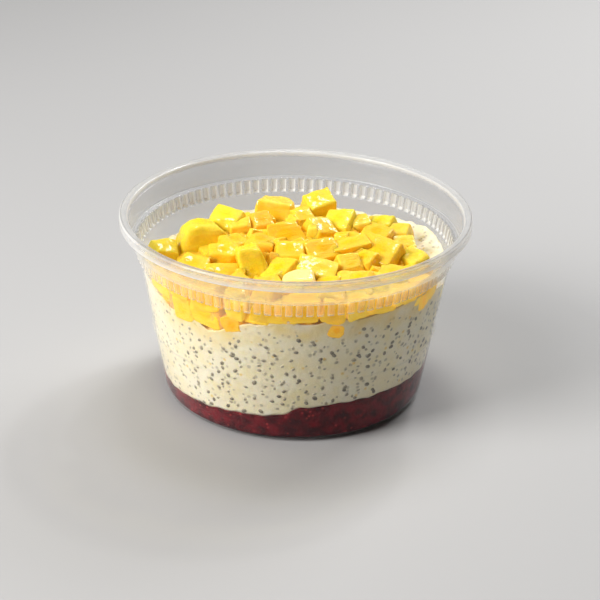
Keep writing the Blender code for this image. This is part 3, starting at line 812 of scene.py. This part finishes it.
# x, y, length, width, height (mm), turn, lean (degrees), lift (mm), softness, taper, tone
TOP_DICE = (
    (-32.0, 6.0, 17.0, 12.5, 13.5, 20, 8, 4.8, 0.55, 0.25, "g"),
    (-43.5, -2.0, 10.5, 9.0, 8.0, 20, 16, 4.0, 0.15, 0.3, "g"),
    (-22.5, 14.5, 13.5, 10.0, 12.0, -35, 22, 2.8, 0.18, 0.25, "l"),
    (-18.5, 8.5, 7.0, 5.5, 6.5, 10, 5, 1.2, 0.30, 0.1, "p"),
    (-12.5, 12.5, 9.0, 9.0, 9.5, 25, 20, 1.0, 0.45, 0.1, "o"),
    (-14.0, -15.5, 9.0, 9.5, 12.0, 12, -12, 3.6, 0.35, 0.1, "l"),
    (-33.0, -15.0, 10.5, 9.5, 8.0, -12, 14, 1.0, 0.22, 0.1, "y"),
    (-23.5, -9.0, 11.0, 6.0, 6.5, -8, 22, 0.8, 0.25, 0.2, "y"),
    (-23.5, -20.0, 11.0, 9.0, 7.5, 6, 18, 0.6, 0.25, 0.1, "y"),
    (-16.0, -26.0, 9.0, 8.0, 9.0, -30, 32, 1.4, 0.15, 0.6, "y"),
    (-20.5, -1.0, 9.0, 8.0, 7.5, 40, 10, -0.4, 0.30, 0.1, "o"),
    (-11.5, -3.0, 10.0, 7.5, 7.0, -15, 8, -0.4, 0.30, 0.1, "o"),
    (-7.0, 24.0, 12.5, 9.5, 10.0, -8, -10, 3.2, 0.20, 0.1, "p"),
    (2.0, 19.5, 8.0, 8.5, 8.5, 30, 25, 0.8, 0.25, 0.2, "y"),
    (8.5, 27.0, 11.0, 9.5, 9.5, 22, 18, 4.0, 0.20, 0.15, "g"),
    (15.5, 14.0, 10.0, 10.5, 10.0, -28, 24, 1.6, 0.25, 0.15, "l"),
    (8.0, 6.5, 10.0, 9.0, 9.0, 35, 20, 1.0, 0.30, 0.1, "y"),
    (-4.0, 4.5, 13.0, 7.5, 7.5, 12, -28, 1.0, 0.20, 0.3, "y"),
    (-1.0, -10.0, 12.5, 9.5, 9.0, -8, 30, 0.8, 0.14, 0.3, "y"),
    (8.0, -9.0, 10.5, 9.0, 9.0, 24, 32, 0.8, 0.14, 0.1, "y"),
    (17.5, -6.0, 13.5, 7.0, 7.0, 22, 12, 1.2, 0.22, 0.1, "y"),
    (-4.0, -21.0, 10.5, 10.0, 8.5, -40, 24, 0.4, 0.16, 0.2, "y"),
    (7.5, -20.5, 12.5, 8.0, 7.5, -10, 28, 0.6, 0.15, 0.1, "p"),
    (18.0, -16.0, 9.5, 9.0, 8.0, 14, 30, 0.8, 0.15, 0.3, "p"),
    (1.5, -28.5, 13.0, 9.5, 10.0, 4, 14, 2.0, 0.40, 0.35, "c"),
    (-8.0, -29.0, 8.5, 8.0, 8.0, 20, 16, 0.2, 0.30, 0.1, "y"),
    (21.5, -25.0, 15.5, 8.0, 7.0, 5, 10, 1.2, 0.35, 0.1, "p"),
    (11.0, -28.5, 8.0, 6.5, 6.5, -20, 8, 0.2, 0.30, 0.1, "y"),
    (18.5, 1.5, 8.0, 6.5, 7.0, -10, 15, 0.0, 0.30, 0.1, "y"),
    (22.5, 14.0, 6.5, 6.5, 8.5, 10, 10, 1.2, 0.35, 0.1, "p"),
    (29.5, 20.5, 10.5, 8.5, 7.0, -25, 18, 1.2, 0.30, 0.2, "g"),
    (35.5, 15.0, 8.5, 7.5, 6.5, -12, 10, 1.0, 0.25, 0.1, "p"),
    (28.5, 8.0, 11.0, 8.5, 7.5, -32, 20, 1.0, 0.25, 0.1, "o"),
    (36.5, 6.0, 8.0, 7.0, 6.5, 10, 18, 0.6, 0.25, 0.2, "p"),
    (28.0, -6.5, 13.5, 11.5, 9.5, -30, 22, 1.6, 0.18, 0.1, "y"),
    (38.5, -5.5, 9.5, 9.5, 9.5, 40, 16, 1.6, 0.30, 0.15, "g"),
    (23.5, -13.0, 8.5, 6.5, 6.5, -45, 20, 0.8, 0.25, 0.1, "y"),
    (32.0, -17.5, 9.5, 8.5, 7.0, -15, 14, 0.6, 0.25, 0.1, "y"),
)

# %% The dice at the wall, and how far the heap reaches
# bearing, height of the middle, width, height (mm), tilt (degrees), tone
WALL_DICE = (
    (-58.0, 48.0, 11.5, 6.8, 4, "p"),
    (-44.8, 44.2, 8.6, 7.6, -5, "y"),
    (-34.2, 44.0, 11.2, 7.4, 7, "y"),
    (-23.0, 43.6, 7.0, 5.8, -28, "o"),
    (-21.0, 48.6, 6.5, 6.0, 10, "p"),
    (-46.0, 50.5, 9.0, 6.0, 20, "o"),
    (-34.0, 50.0, 11.0, 7.5, -12, "y"),
    (-9.0, 49.6, 11.0, 6.4, 6, "y"),
    (3.0, 50.0, 12.5, 6.6, -5, "y"),
    (15.3, 42.7, 5.2, 4.3, 10, "o"),
    (14.0, 50.0, 8.0, 6.8, 12, "y"),
    (23.5, 49.8, 9.0, 6.2, -10, "p"),
    (33.0, 49.6, 10.0, 6.0, 8, "y"),
    (43.0, 50.2, 11.5, 5.4, 4, "p"),
    (53.5, 51.0, 9.0, 5.2, 0, "y"),
    (55.0, 44.6, 3.0, 5.4, -14, "o"),
    (79.0, 39.8, 4.4, 4.6, 20, "g"),
)
# the rows behind them: radius and height of the middle (mm), and the bearings
UPPER_ROWS = ((45.0, 48.7, (-55, -45, -33, -21, -10.5, 2, 13, 25, 36, 47, 59)),
              (36.5, 46.2, (-40, -27, -14, -2, 10, 22, 35)))
CRUMBS = 36                     # small bits between the dice
UNDER_DICE = 82                 # a plainer layer beneath, which also covers the back of the heap


def heap_top(x, y):
    """The dome that the tops of the dice lie about: edge level + dome * (1 - (distance / spread)^2)."""
    away = np.hypot(x - HEAP_CENTRE[0], y - HEAP_CENTRE[1])
    return HEAP_LEVEL + HEAP_DOME * (1 - np.minimum(1, away / HEAP_SPREAD) ** 2)


def heap_radius(bearing):
    """How far the heap reaches: 42.2 + 5.0 cos b - 1.2 sin b millimetres, so furthest at the front."""
    turn = np.radians(bearing)
    return (42.2 + 5.0 * np.cos(turn) - 1.2 * np.sin(turn)) * MM


print(len(TOP_DICE), "dice on top and", len(WALL_DICE), "at the wall; the heap's middle is",
      round(heap_top(*HEAP_CENTRE) / MM, 1), "mm high")

# %% Turn one die, and press it to the wall
PRESS_DEPTH = 1.8 * INTO_WALL   # how far a pressed die reaches into the wall


def turn_matrix(turn, lean, pitch):
    """Rotation by the turn about Z, after the pitch about Y, after the lean about X. Each of the three
    turns its first axis towards its second one."""
    whole = np.eye(3)
    for angle, first, second in ((lean, 1, 2), (pitch, 2, 0), (turn, 0, 1)):
        step = np.eye(3)
        step[first, first] = step[second, second] = math.cos(math.radians(angle))
        step[second, first] = math.sin(math.radians(angle))
        step[first, second] = -step[second, first]
        whole = step @ whole
    return whole


def press_to_wall(points, smeared):
    """Points beyond the wall slide in to it, those from furthest out in front: w - 0.1 exp(-e / 0.8) mm,
    where e is how far out a point was. A smeared die stays further in, in patches, under the pudding."""
    radius = np.hypot(points[:, 0], points[:, 1])
    smear = 0.25 * MM * smeared * np.maximum(0, waves(points, 4 * MM, 8, 5) - 0.7)
    excess = np.maximum(0, radius - inner_radius(points[:, 2]) - PRESS_DEPTH + smear)
    drop = np.where(excess > 0, excess + 0.1 * MM * np.exp(-excess / (0.8 * MM)), 0)
    factor = 1 - drop / np.maximum(radius, MM)
    return points * np.stack([factor, factor, np.ones_like(factor)], axis=-1)


print("a quarter turn takes +X to", (turn_matrix(90, 0, 0) @ (1, 0, 0)).round(2).tolist())

# %% Cut one die
CORNER_SHIFTS = (-0.18, 0.13)   # how far a corner is moved, in halves of the die's side
SLICE_SHARES = (0.78, 1.0)      # how much of the way out to the die's skin a slice is cut
KNIFE_WAYS = (1, 1, 0.8)        # slices face the sides a little more than up or down
SMEARED_WIDTHS = (7 * MM, 9 * MM)       # dice this wide begin to be, and are, smeared with pudding


def die(draw, place, sizes, turns, soft, taper, tone):
    """One die and its marks: a cube with rounded edges, a tapered top, eight corners moved at random, three
    slices off, a low crown above and below, and a rough skin. Then it is turned and pressed to the wall."""
    body = soften(CUBE, 0.7 * soft)
    shape = body.copy()
    shape[:, :2] *= 1 - taper * (shape[:, 2:] + 1) / 2
    shape = bend_by_corners(shape, draw.uniform(*CORNER_SHIFTS, (8, 3)))
    for knife in draw.normal(size=(3, 3)) * KNIFE_WAYS:
        knife /= np.linalg.norm(knife)
        beyond = shape @ knife
        depth = 0.97 * np.percentile(beyond, 99) * draw.uniform(*SLICE_SHARES)
        shape = shape - np.outer(np.maximum(0, beyond - depth), knife)
    shape[:, 2] += 0.03 * (1 - body[:, 0] ** 2) * (1 - body[:, 1] ** 2) * np.sign(body[:, 2])
    shape = shape * sizes / 2
    out = body / np.linalg.norm(body, axis=1, keepdims=True)
    seed = int(draw.integers(1 << 30))
    rough = 0.16 * waves(shape, 5.5 * MM, seed) + 0.06 * waves(shape, 2.1 * MM, seed + 1)
    shape = shape + out * rough[:, None] * MM
    points = press_to_wall(place + shape @ turn_matrix(*turns).T, smooth_step(*SMEARED_WIDTHS, sizes[0]))
    # where a die's edges are, for a painted highlight in its finish
    edge = smooth_step(1.35, 1.62, np.abs(body).sum(axis=1) - 0.4 * np.abs(body).min(axis=1))
    ripe, pale = TONES[tone]
    ripe = np.clip(ripe + draw.uniform(-0.2, 0.2), 0, 1)
    own_place = shape + draw.uniform(-1, 1, 3)
    gap = inner_radius(points[:, 2]) - np.hypot(points[:, 0], points[:, 1])
    return {"points": points, "ripe": np.full(len(points), ripe), "pale": np.full(len(points), pale),
            "edge": edge, "own_place": own_place, "at_wall": smooth_step(3.0 * MM, 0.4 * MM, gap)}


def join_dice(name, dice, finish):
    """All the dice of one kind as one mesh, with the marks that their finish reads."""
    marks = {word: np.concatenate([row[word] for row in dice]) for word in dice[0]}
    points = marks.pop("points")
    shifts = np.arange(len(dice))[:, None, None] * len(CUBE)
    faces = (CUBE_FACES[None] + shifts).reshape(-1, 4)
    return put_mesh(name, points, [faces], finish, marks)


print("a die's corners move by", CORNER_SHIFTS, "of half its side")

# %% [markdown]
# ## Wet mango
#
# Mango flesh lets light in and glows orange where it leaves again, so it needs subsurface scattering with
# a red-heavy radius. On top of that the edges are painted paler, a painted highlight, and the flesh is
# given a painted glow, most at the wall, for the light that comes through it. Some dice are greener or
# more orange than others, and juice makes them shine.

# %% Finish: mango
MANGO_GREENISH = (0.82, 0.67, 0.018)
MANGO_YELLOW = (0.88, 0.51, 0.003)
MANGO_ORANGE = (0.87, 0.40, 0.002)
MANGO_PALE_AND_HIGHLIGHT = (0.93, 0.73, 0.13)
MANGO_CREAM = (0.97, 0.80, 0.36)


def mango_flesh():
    """Yellow to orange by ripeness, with a painted highlight at the edges and wet spots in its coat. Its
    texture follows each die's own axes. A painted glow stands in for light through the flesh: a little
    everywhere, and most right at the wall, where it has no coat."""
    finish = Finish("mango_flesh", subsurface_weight=0.55, subsurface_radius=(1.0, 0.7, 0.12),
                    subsurface_scale=2.0 * MM, specular_ior_level=0.15, coat_roughness=0.06,
                    emission_strength=0.32)
    own = finish.mark("own_place", "Vector")
    fibre = finish.noise(1.6 * MM, 3, own, stretch=(0.25, 1, 1))
    clouds = finish.step(finish.noise(5 * MM, 2, own), 0.35, 0.7)
    ripe = finish.mark("ripe") + (fibre - 0.5) * 0.6
    base = finish.mix(finish.step(ripe, -0.2, 0.5), MANGO_GREENISH, MANGO_YELLOW)
    base = finish.mix(finish.step(ripe, 0.5, 1.1), base, MANGO_ORANGE)
    # some dice's pale tone, and at the edges a painted highlight
    light = finish.mark("pale") * (0.15 + clouds * 0.5) + finish.mark("edge") * 0.45 * fibre
    base = finish.mix(light, base, MANGO_PALE_AND_HIGHLIGHT)
    base = finish.mix(finish.step(finish.mark("pale"), 0.7, 1.5), base, MANGO_CREAM)
    grain = finish.bump(finish.noise(0.6 * MM, 2, own), 0.14 * MM, finish.bump(fibre, 0.4 * MM))
    juicy = finish.step(finish.noise(1.1 * MM, 3, own), 0.48, 0.56)
    rough = 0.4 + finish.noise(3 * MM, 1, own) * 0.25
    # painted glow: the flesh's own colour given off as light, for light that comes through the fruit, most
    # at the wall
    glow = finish.mix(0.08 + finish.mark("at_wall") * 0.92, BLACK, base)
    return finish.drive(base_color=base, normal=grain, roughness=rough, emission_color=glow,
                        coat_weight=juicy * (1 - finish.mark("at_wall")))


mango = mango_flesh()

# %% Lay the dice on top
TOP_SWELL = 1.08                # a die is cut from a block this much larger, as the slices take some off
CRUMB_REACH = 36 * MM           # how far from their middle the crumbs lie
CRUMB_MIDDLE = (1 * MM, -3 * MM, 0)

draw = np.random.default_rng(55)
top_dice = []
for x, y, length, width, tall, turn, lean, lift, soft, taper, tone in TOP_DICE:
    place = np.array((x * MM, y * MM, heap_top(x * MM, y * MM) + (lift - tall / 2) * MM))
    sizes = np.array((length, width, tall)) * TOP_SWELL * MM
    turns = (turn, lean, draw.uniform(-10, 10))
    top_dice.append(die(draw, place, sizes, turns, soft, taper, tone))
for number in range(CRUMBS):
    bearing, away = number * GOLDEN_ANGLE, CRUMB_REACH * math.sqrt((number + 0.5) / CRUMBS)
    place = around_axis(bearing, away, 0.0) + CRUMB_MIDDLE
    place[2] = heap_top(place[0], place[1]) - draw.uniform(1.0, 3.5) * MM
    sizes, turns = draw.uniform(2.5, 6.0, 3) * MM, draw.uniform(-40, 40, 3)
    top_dice.append(die(draw, place, sizes, turns, 0.35, 0.2, "ypo"[number % 3]))
print("dice and crumbs on top:", len(top_dice))

# %% Lay the dice beneath
UNDER_INSET = 3.0 * MM          # how far inside the heap's outline they end

under_dice = []
for number in range(UNDER_DICE):
    bearing = number * GOLDEN_ANGLE
    share = math.sqrt((number + 0.5) / UNDER_DICE)
    place = around_axis(bearing, (heap_radius(bearing) - UNDER_INSET) * share, 0.0)
    sizes = draw.uniform(8.5, 10.5, 3) * MM
    place[2] = heap_top(place[0], place[1]) - draw.uniform(1.8, 4.0) * MM - sizes[2] / 2
    turns = (draw.uniform(0, 90), *draw.uniform(-24, 24, 2))
    under_dice.append(die(draw, place, sizes, turns, 0.22, 0.1, "yyypyog"[number % 7]))
print("dice beneath:", len(under_dice))

# %% Lay the dice at the wall
WALL_SWELL = 1.1                # as TOP_SWELL, for the dice at the wall
WALL_DEPTH = 9.0 * MM           # how far they reach inwards

wall_dice = []
for bearing, middle, wide, tall, tilt, tone in WALL_DICE:
    # a narrow die is set further out beyond the wall, by 3.4 mm less a fifth of its width
    reach = inner_radius(middle * MM) - WALL_DEPTH / 2 + (3.4 - 0.2 * wide) * MM
    place = around_axis(bearing, reach, middle * MM)
    sizes = np.array((wide * MM, WALL_DEPTH, tall * MM)) * WALL_SWELL
    turns = (bearing, draw.uniform(-8, 8), tilt)
    soft = np.interp(wide, (5, 8), (0.9, 0.45))     # the small ones are rounder
    wall_dice.append(die(draw, place, sizes, turns, soft, 0.15, tone))
for reach_mm, middle, row in UPPER_ROWS:
    for number, bearing in enumerate(row):
        reach = (reach_mm + draw.uniform(-1.5, 1.5)) * MM
        place = around_axis(bearing + draw.uniform(-2, 2), reach, (middle + draw.uniform(-1.5, 1.5)) * MM)
        turns = (bearing + draw.uniform(-35, 35), draw.uniform(-18, 18), draw.uniform(-18, 18))
        sizes = draw.uniform(8.5, 12.5, 3) * MM
        wall_dice.append(die(draw, place, sizes, turns, 0.35, 0.2, "yyypyy"[number % 6]))
print("dice at the wall:", len(wall_dice))

# %% Join them
heaps = {"mango_dice_top": top_dice, "mango_dice_under": under_dice, "mango_dice_wall": wall_dice}
for name, dice in heaps.items():
    piece = join_dice(name, dice, mango)
    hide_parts("mango_dice")
    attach(piece, "root")

# %% [markdown]
# ## The heap's core
#
# Between the dice the eye should meet more mango, not a hole. A low dome of the same flesh lies under
# them, out to the heap's uneven outline. Its ripeness is set towards orange, so that it reads darker than
# the dice: painted shade for the gaps between them. It holds only the marks for ripeness and for its own
# place; the others read as 0.

# %% The core
CORE_INSET = 3 * MM             # how far inside the heap's outline it ends
CORE_SINK = 0.6 * MM            # how far it reaches into the pudding
# a deep orange for the core, painted shade in the gaps between the dice
CORE_SHADE_RIPENESS = 0.9

core_rows = layer_rows(low=8, side=1, high=24)
share, rise = core_rows[:, :1], core_rows[:, 1:]
reach = share * (heap_radius(round_about) - CORE_INSET)
spots = around_axis(round_about, reach, 0.0)
under = pudding_top(round_about, reach / inner_radius(PUDDING_LEVEL)) - CORE_SINK
slump = 4.6 * MM + 2.5 * MM * smooth_step(0.6, 1.0, share)      # how far below the dice's tops it stays
over = heap_top(spots[..., 0], spots[..., 1]) - slump + 0.7 * MM * waves(spots, 9 * MM, 21)
core_height = under + rise * np.maximum(over - under, 0.8 * MM)
core_rings = around_axis(round_about, reach, core_height)
core_poles = np.array([(0, 0, PUDDING_LEVEL - CORE_SINK), (0, 0, float(over[-1].mean()))])
core_points = np.concatenate([core_poles[:1], core_rings.reshape(-1, 3), core_poles[1:]])
core_marks = {"ripe": np.full(len(core_points), CORE_SHADE_RIPENESS), "own_place": core_points}
core = turned("mango_core", core_rings, core_poles, mango, core_marks)
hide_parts("mango_dice")
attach(core, "root")

# %% [markdown]
# ## Chia seeds
#
# A chia seed is an egg about 2 mm long. About eleven hundred are laid, so each is a lathe of a few dozen
# faces: a ring's radius is the sine of its angle from the tip. Those on the side are spread by the golden
# angle, which never lines up, with a little chance added, and those on top by chance alone. All of them
# are one joined mesh.

# %% One seed, and a way to lay many
def egg(around=7, rings=3):
    """Points and faces of a small ball: (sin a cos t, sin a sin t, -cos a)."""
    angle = np.linspace(0, math.pi, rings + 2)[1:-1, None]
    turn = np.linspace(0, TURN, around, endpoint=False)
    wide = np.sin(angle)
    parts = np.broadcast_arrays(wide * np.cos(turn), wide * np.sin(turn), -np.cos(angle))
    points = np.stack(parts, axis=-1).reshape(-1, 3)
    return np.concatenate([[(0, 0, -1)], points, [(0, 0, 1)]]), ring_faces(rings, around)


def lay_many(points, faces, places, axes, sizes):
    """Copies of one small body: places (n, 3), axes (n, 3, 3) with the body's X, Y and Z as rows, and
    sizes (n, 3). Each copy is place + sum of size * coordinate * axis."""
    bodies = places[:, None] + np.einsum('pk,nk,nkj->npj', points, sizes, axes)
    shifts = np.arange(len(places))[:, None, None] * len(points)
    joined_faces = [(part[None] + shifts).reshape(-1, part.shape[1]) for part in faces]
    return bodies.reshape(-1, 3), joined_faces


def on_surface(outward, spin):
    """Axes for bodies that lie on a surface: X along it at an angle, Y across, Z outwards."""
    outward = outward / np.linalg.norm(outward, axis=1, keepdims=True)
    level = np.cross(outward, np.where(np.abs(outward[:, 2:]) > 0.9, (1.0, 0, 0), (0, 0, 1.0)))
    level /= np.linalg.norm(level, axis=1, keepdims=True)
    across = np.cross(outward, level)
    cos, sin = np.cos(spin)[:, None], np.sin(spin)[:, None]
    along = level * cos + across * sin
    return np.stack([along, np.cross(outward, along), outward], axis=1)


print("a seed has", len(egg()[0]), "points")

# %% Spread seeds on the side
SIDE_SEEDS = 900                # places; those behind a die at the wall stay empty
SEED = (1.3 * MM, 0.95 * MM, 0.65 * MM)     # half its length, width and thickness
SEED_SCALES = (0.75, 1.05)
SEED_SHOWN = (0.07, 0.31)       # how far a seed stands out of the pudding, in millimetres
DICE_ROOM = 0.82                # seeds keep this far from a die's middle, in its widths and heights

draw = np.random.default_rng(12)
index = np.arange(SIDE_SEEDS)
bearing = (index * GOLDEN_ANGLE + draw.normal(0, 2.2, SIDE_SEEDS)) % 360 - 180
low, high = red_top(bearing, 1.0) + 0.8 * MM, pudding_top(bearing, 1.0) - 1.3 * MM
seed_height = low + (high - low) * (index + draw.uniform(0, 1, SIDE_SEEDS)) / SIDE_SEEDS
clear_of_dice = np.ones(SIDE_SEEDS, bool)
for middle, level, wide, tall, tilt, tone in WALL_DICE:
    aside = np.radians(bearing - middle) * inner_radius(seed_height) / (wide * MM)
    apart = (seed_height - level * MM) / (tall * MM)
    clear_of_dice &= np.maximum(np.abs(aside), np.abs(apart)) > DICE_ROOM
bearing, seed_height = bearing[clear_of_dice], seed_height[clear_of_dice]
scale = draw.uniform(*SEED_SCALES, len(bearing))
# towards the left they stand out less
shown = (draw.uniform(*SEED_SHOWN, len(bearing)) - 0.08 * smooth_step(-35, -60, bearing)) * MM
seed_radius = inner_radius(seed_height) + INTO_WALL + shown - SEED[2] * scale
side_places = around_axis(bearing, seed_radius, seed_height)
slope = -TAPER * np.hypot(side_places[:, 0], side_places[:, 1])
side_outward = np.column_stack([side_places[:, :2], slope])
print("seeds on the side:", len(side_places))

# %% Spread seeds on top, and join them all
TOP_SEEDS = 210
TOP_SHARES = (0.74, 0.985)      # shares of the way out from the axis between which they lie
TOP_BEARINGS = (78, 285)        # and bearings, where the fruit leaves the pudding bare
TOP_SCALES = (0.62, 0.85)
TOP_SUNK = 0.38 * MM            # how deep their middles lie

share = np.sqrt(draw.uniform(TOP_SHARES[0] ** 2, TOP_SHARES[1] ** 2, TOP_SEEDS))
bearing = draw.uniform(*TOP_BEARINGS, TOP_SEEDS)
top_level = bare_top(bearing, share)
top_places = around_axis(bearing, share * inner_radius(top_level), top_level - TOP_SUNK)
top_outward = np.tile((0.0, 0.0, 1.0), (TOP_SEEDS, 1))

places = np.concatenate([side_places, top_places])
axes = on_surface(np.concatenate([side_outward, top_outward]), draw.uniform(0, math.pi, len(places)))
sizes = np.outer(np.concatenate([scale, draw.uniform(*TOP_SCALES, TOP_SEEDS)]), SEED)
seed_points, seed_faces = lay_many(*egg(), places, axes, sizes)
print("seeds laid:", len(places))

# %% How far each seed is clear of the pudding
SEED_FILM = (-0.02 * MM, 0.16 * MM)     # heights over the pudding at which its film covers, and is gone

side_count = len(seed_points) * len(side_places) // len(places)
side_points, top_points = seed_points[:side_count], seed_points[side_count:]
beyond_side = np.hypot(side_points[:, 0], side_points[:, 1]) - inner_radius(side_points[:, 2]) - INTO_WALL
beyond_top = top_points[:, 2] - np.repeat(top_level, len(top_points) // TOP_SEEDS)
seed_clear = smooth_step(*SEED_FILM, np.concatenate([beyond_side, beyond_top]))
print("clear share", round(float(seed_clear.mean()), 2))

# %% Finish: seeds
SEED_DARK = (0.11, 0.096, 0.072)
SEED_LIGHT = (0.36, 0.32, 0.24)
PUDDING_FILM = (0.90, 0.81, 0.57)


def seed_skin():
    """Grey-brown and mottled, and cream-coloured at the rim, where a film of pudding covers it. The clear
    mark says how far a point is out of the film, so the rim is soft."""
    finish = Finish("seed_skin", roughness=0.4, specular_ior_level=0.2, coat_weight=0.08,
                    coat_roughness=0.12)
    mottle = finish.step(finish.noise(0.8 * MM, 2), 0.35, 0.7) * 0.5
    mottle = mottle + finish.step(finish.noise(3.5 * MM, 1), 0.4, 0.62) * 0.5
    base = finish.mix(mottle, SEED_DARK, SEED_LIGHT)
    return finish.drive(base_color=finish.mix(finish.mark("clear"), PUDDING_FILM, base))


seeds = put_mesh("chia_seeds", seed_points, seed_faces, seed_skin(), {"clear": seed_clear})
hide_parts("chia_pudding")
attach(seeds, "root")

# %% [markdown]
# ## Floor and light
#
# The set is plain: a pale floor and four soft lamps. A large lamp on the left gives the pudding its bright
# left side and its shaded right side. One above and behind, and a small one beside it, draw the glints on
# the wet fruit and the white line on the rim. One at the back right lights the ribs and the rim from
# there. A weak light from all round keeps the shade open.

# %% Floor
FLOOR_GREY = (0.41, 0.41, 0.415)
FLOOR_PALE = (0.44, 0.44, 0.445)
FLOOR_CLOUDS = 0.5              # how far across its clouds are
SET_HALF = 3.0                  # half the floor's side
SET_DROP = 0.05 * MM            # how far it lies below the cup, so that the two don't touch


def floor_paint():
    """Matt and pale grey, with very faint clouds."""
    finish = Finish("floor_paint", roughness=0.7)
    clouds = finish.noise(FLOOR_CLOUDS, 2)
    return finish.drive(base_color=finish.mix(clouds, FLOOR_GREY, FLOOR_PALE))


corners = np.array([(-1, -1, 0), (1, -1, 0), (1, 1, 0), (-1, 1, 0)]) * SET_HALF - (0, 0, SET_DROP)
floor = put_mesh("floor", corners, [np.array([[0, 1, 2, 3]])], floor_paint())

# %% Lamps
LAMP_AIM = Vector((0, 0, 0.03))         # the middle of the cup
# name, bearing and elevation (degrees), distance and size (m), power (W), colour
LAMPS = (
    ("lamp_left", -62, 36, 0.9, 0.4, 9.8, (1.0, 0.98, 0.95)),
    ("lamp_top", 175, 72, 0.9, 0.25, 2.9, (1.0, 0.99, 0.97)),
    ("lamp_glint", 150, 50, 0.9, 0.07, 1.6, (1.0, 1.0, 1.0)),
    ("lamp_back_right", 142, 32, 1.0, 0.4, 5.2, (1.0, 0.99, 0.97)),
)
AIR_COLOUR = (0.92, 0.89, 0.84, 1)      # the weak light from all round
AIR_LIGHT = 0.09
CLEAR_LAYERS = 24                       # how many clear skins a ray may pass


def lamp(name, bearing, elevation, distance, size, power, colour):
    """A square area lamp that looks at the cup from a bearing and an elevation in degrees."""
    turn, rise = math.radians(bearing), math.radians(elevation)
    way = Vector((math.sin(turn) * math.cos(rise), -math.cos(turn) * math.cos(rise), math.sin(rise)))
    light = bpy.data.lights.new(name, 'AREA')
    light.size = size
    light.energy = power
    light.color = colour
    holder = bpy.data.objects.new(name, light)
    holder.location = LAMP_AIM + way * distance
    holder.rotation_euler = way.to_track_quat('Z', 'Y').to_euler()
    bpy.context.scene.collection.objects.link(holder)


for row in LAMPS:
    lamp(*row)
world = bpy.data.worlds.new("studio")
world.use_nodes = True
world.node_tree.nodes["Background"].inputs["Color"].default_value = AIR_COLOUR
world.node_tree.nodes["Background"].inputs["Strength"].default_value = AIR_LIGHT
bpy.context.scene.world = world
bpy.context.scene.view_settings.view_transform = 'Standard'
bpy.context.scene.cycles.transparent_max_bounces = CLEAR_LAYERS
print(len(LAMPS), "lamps")
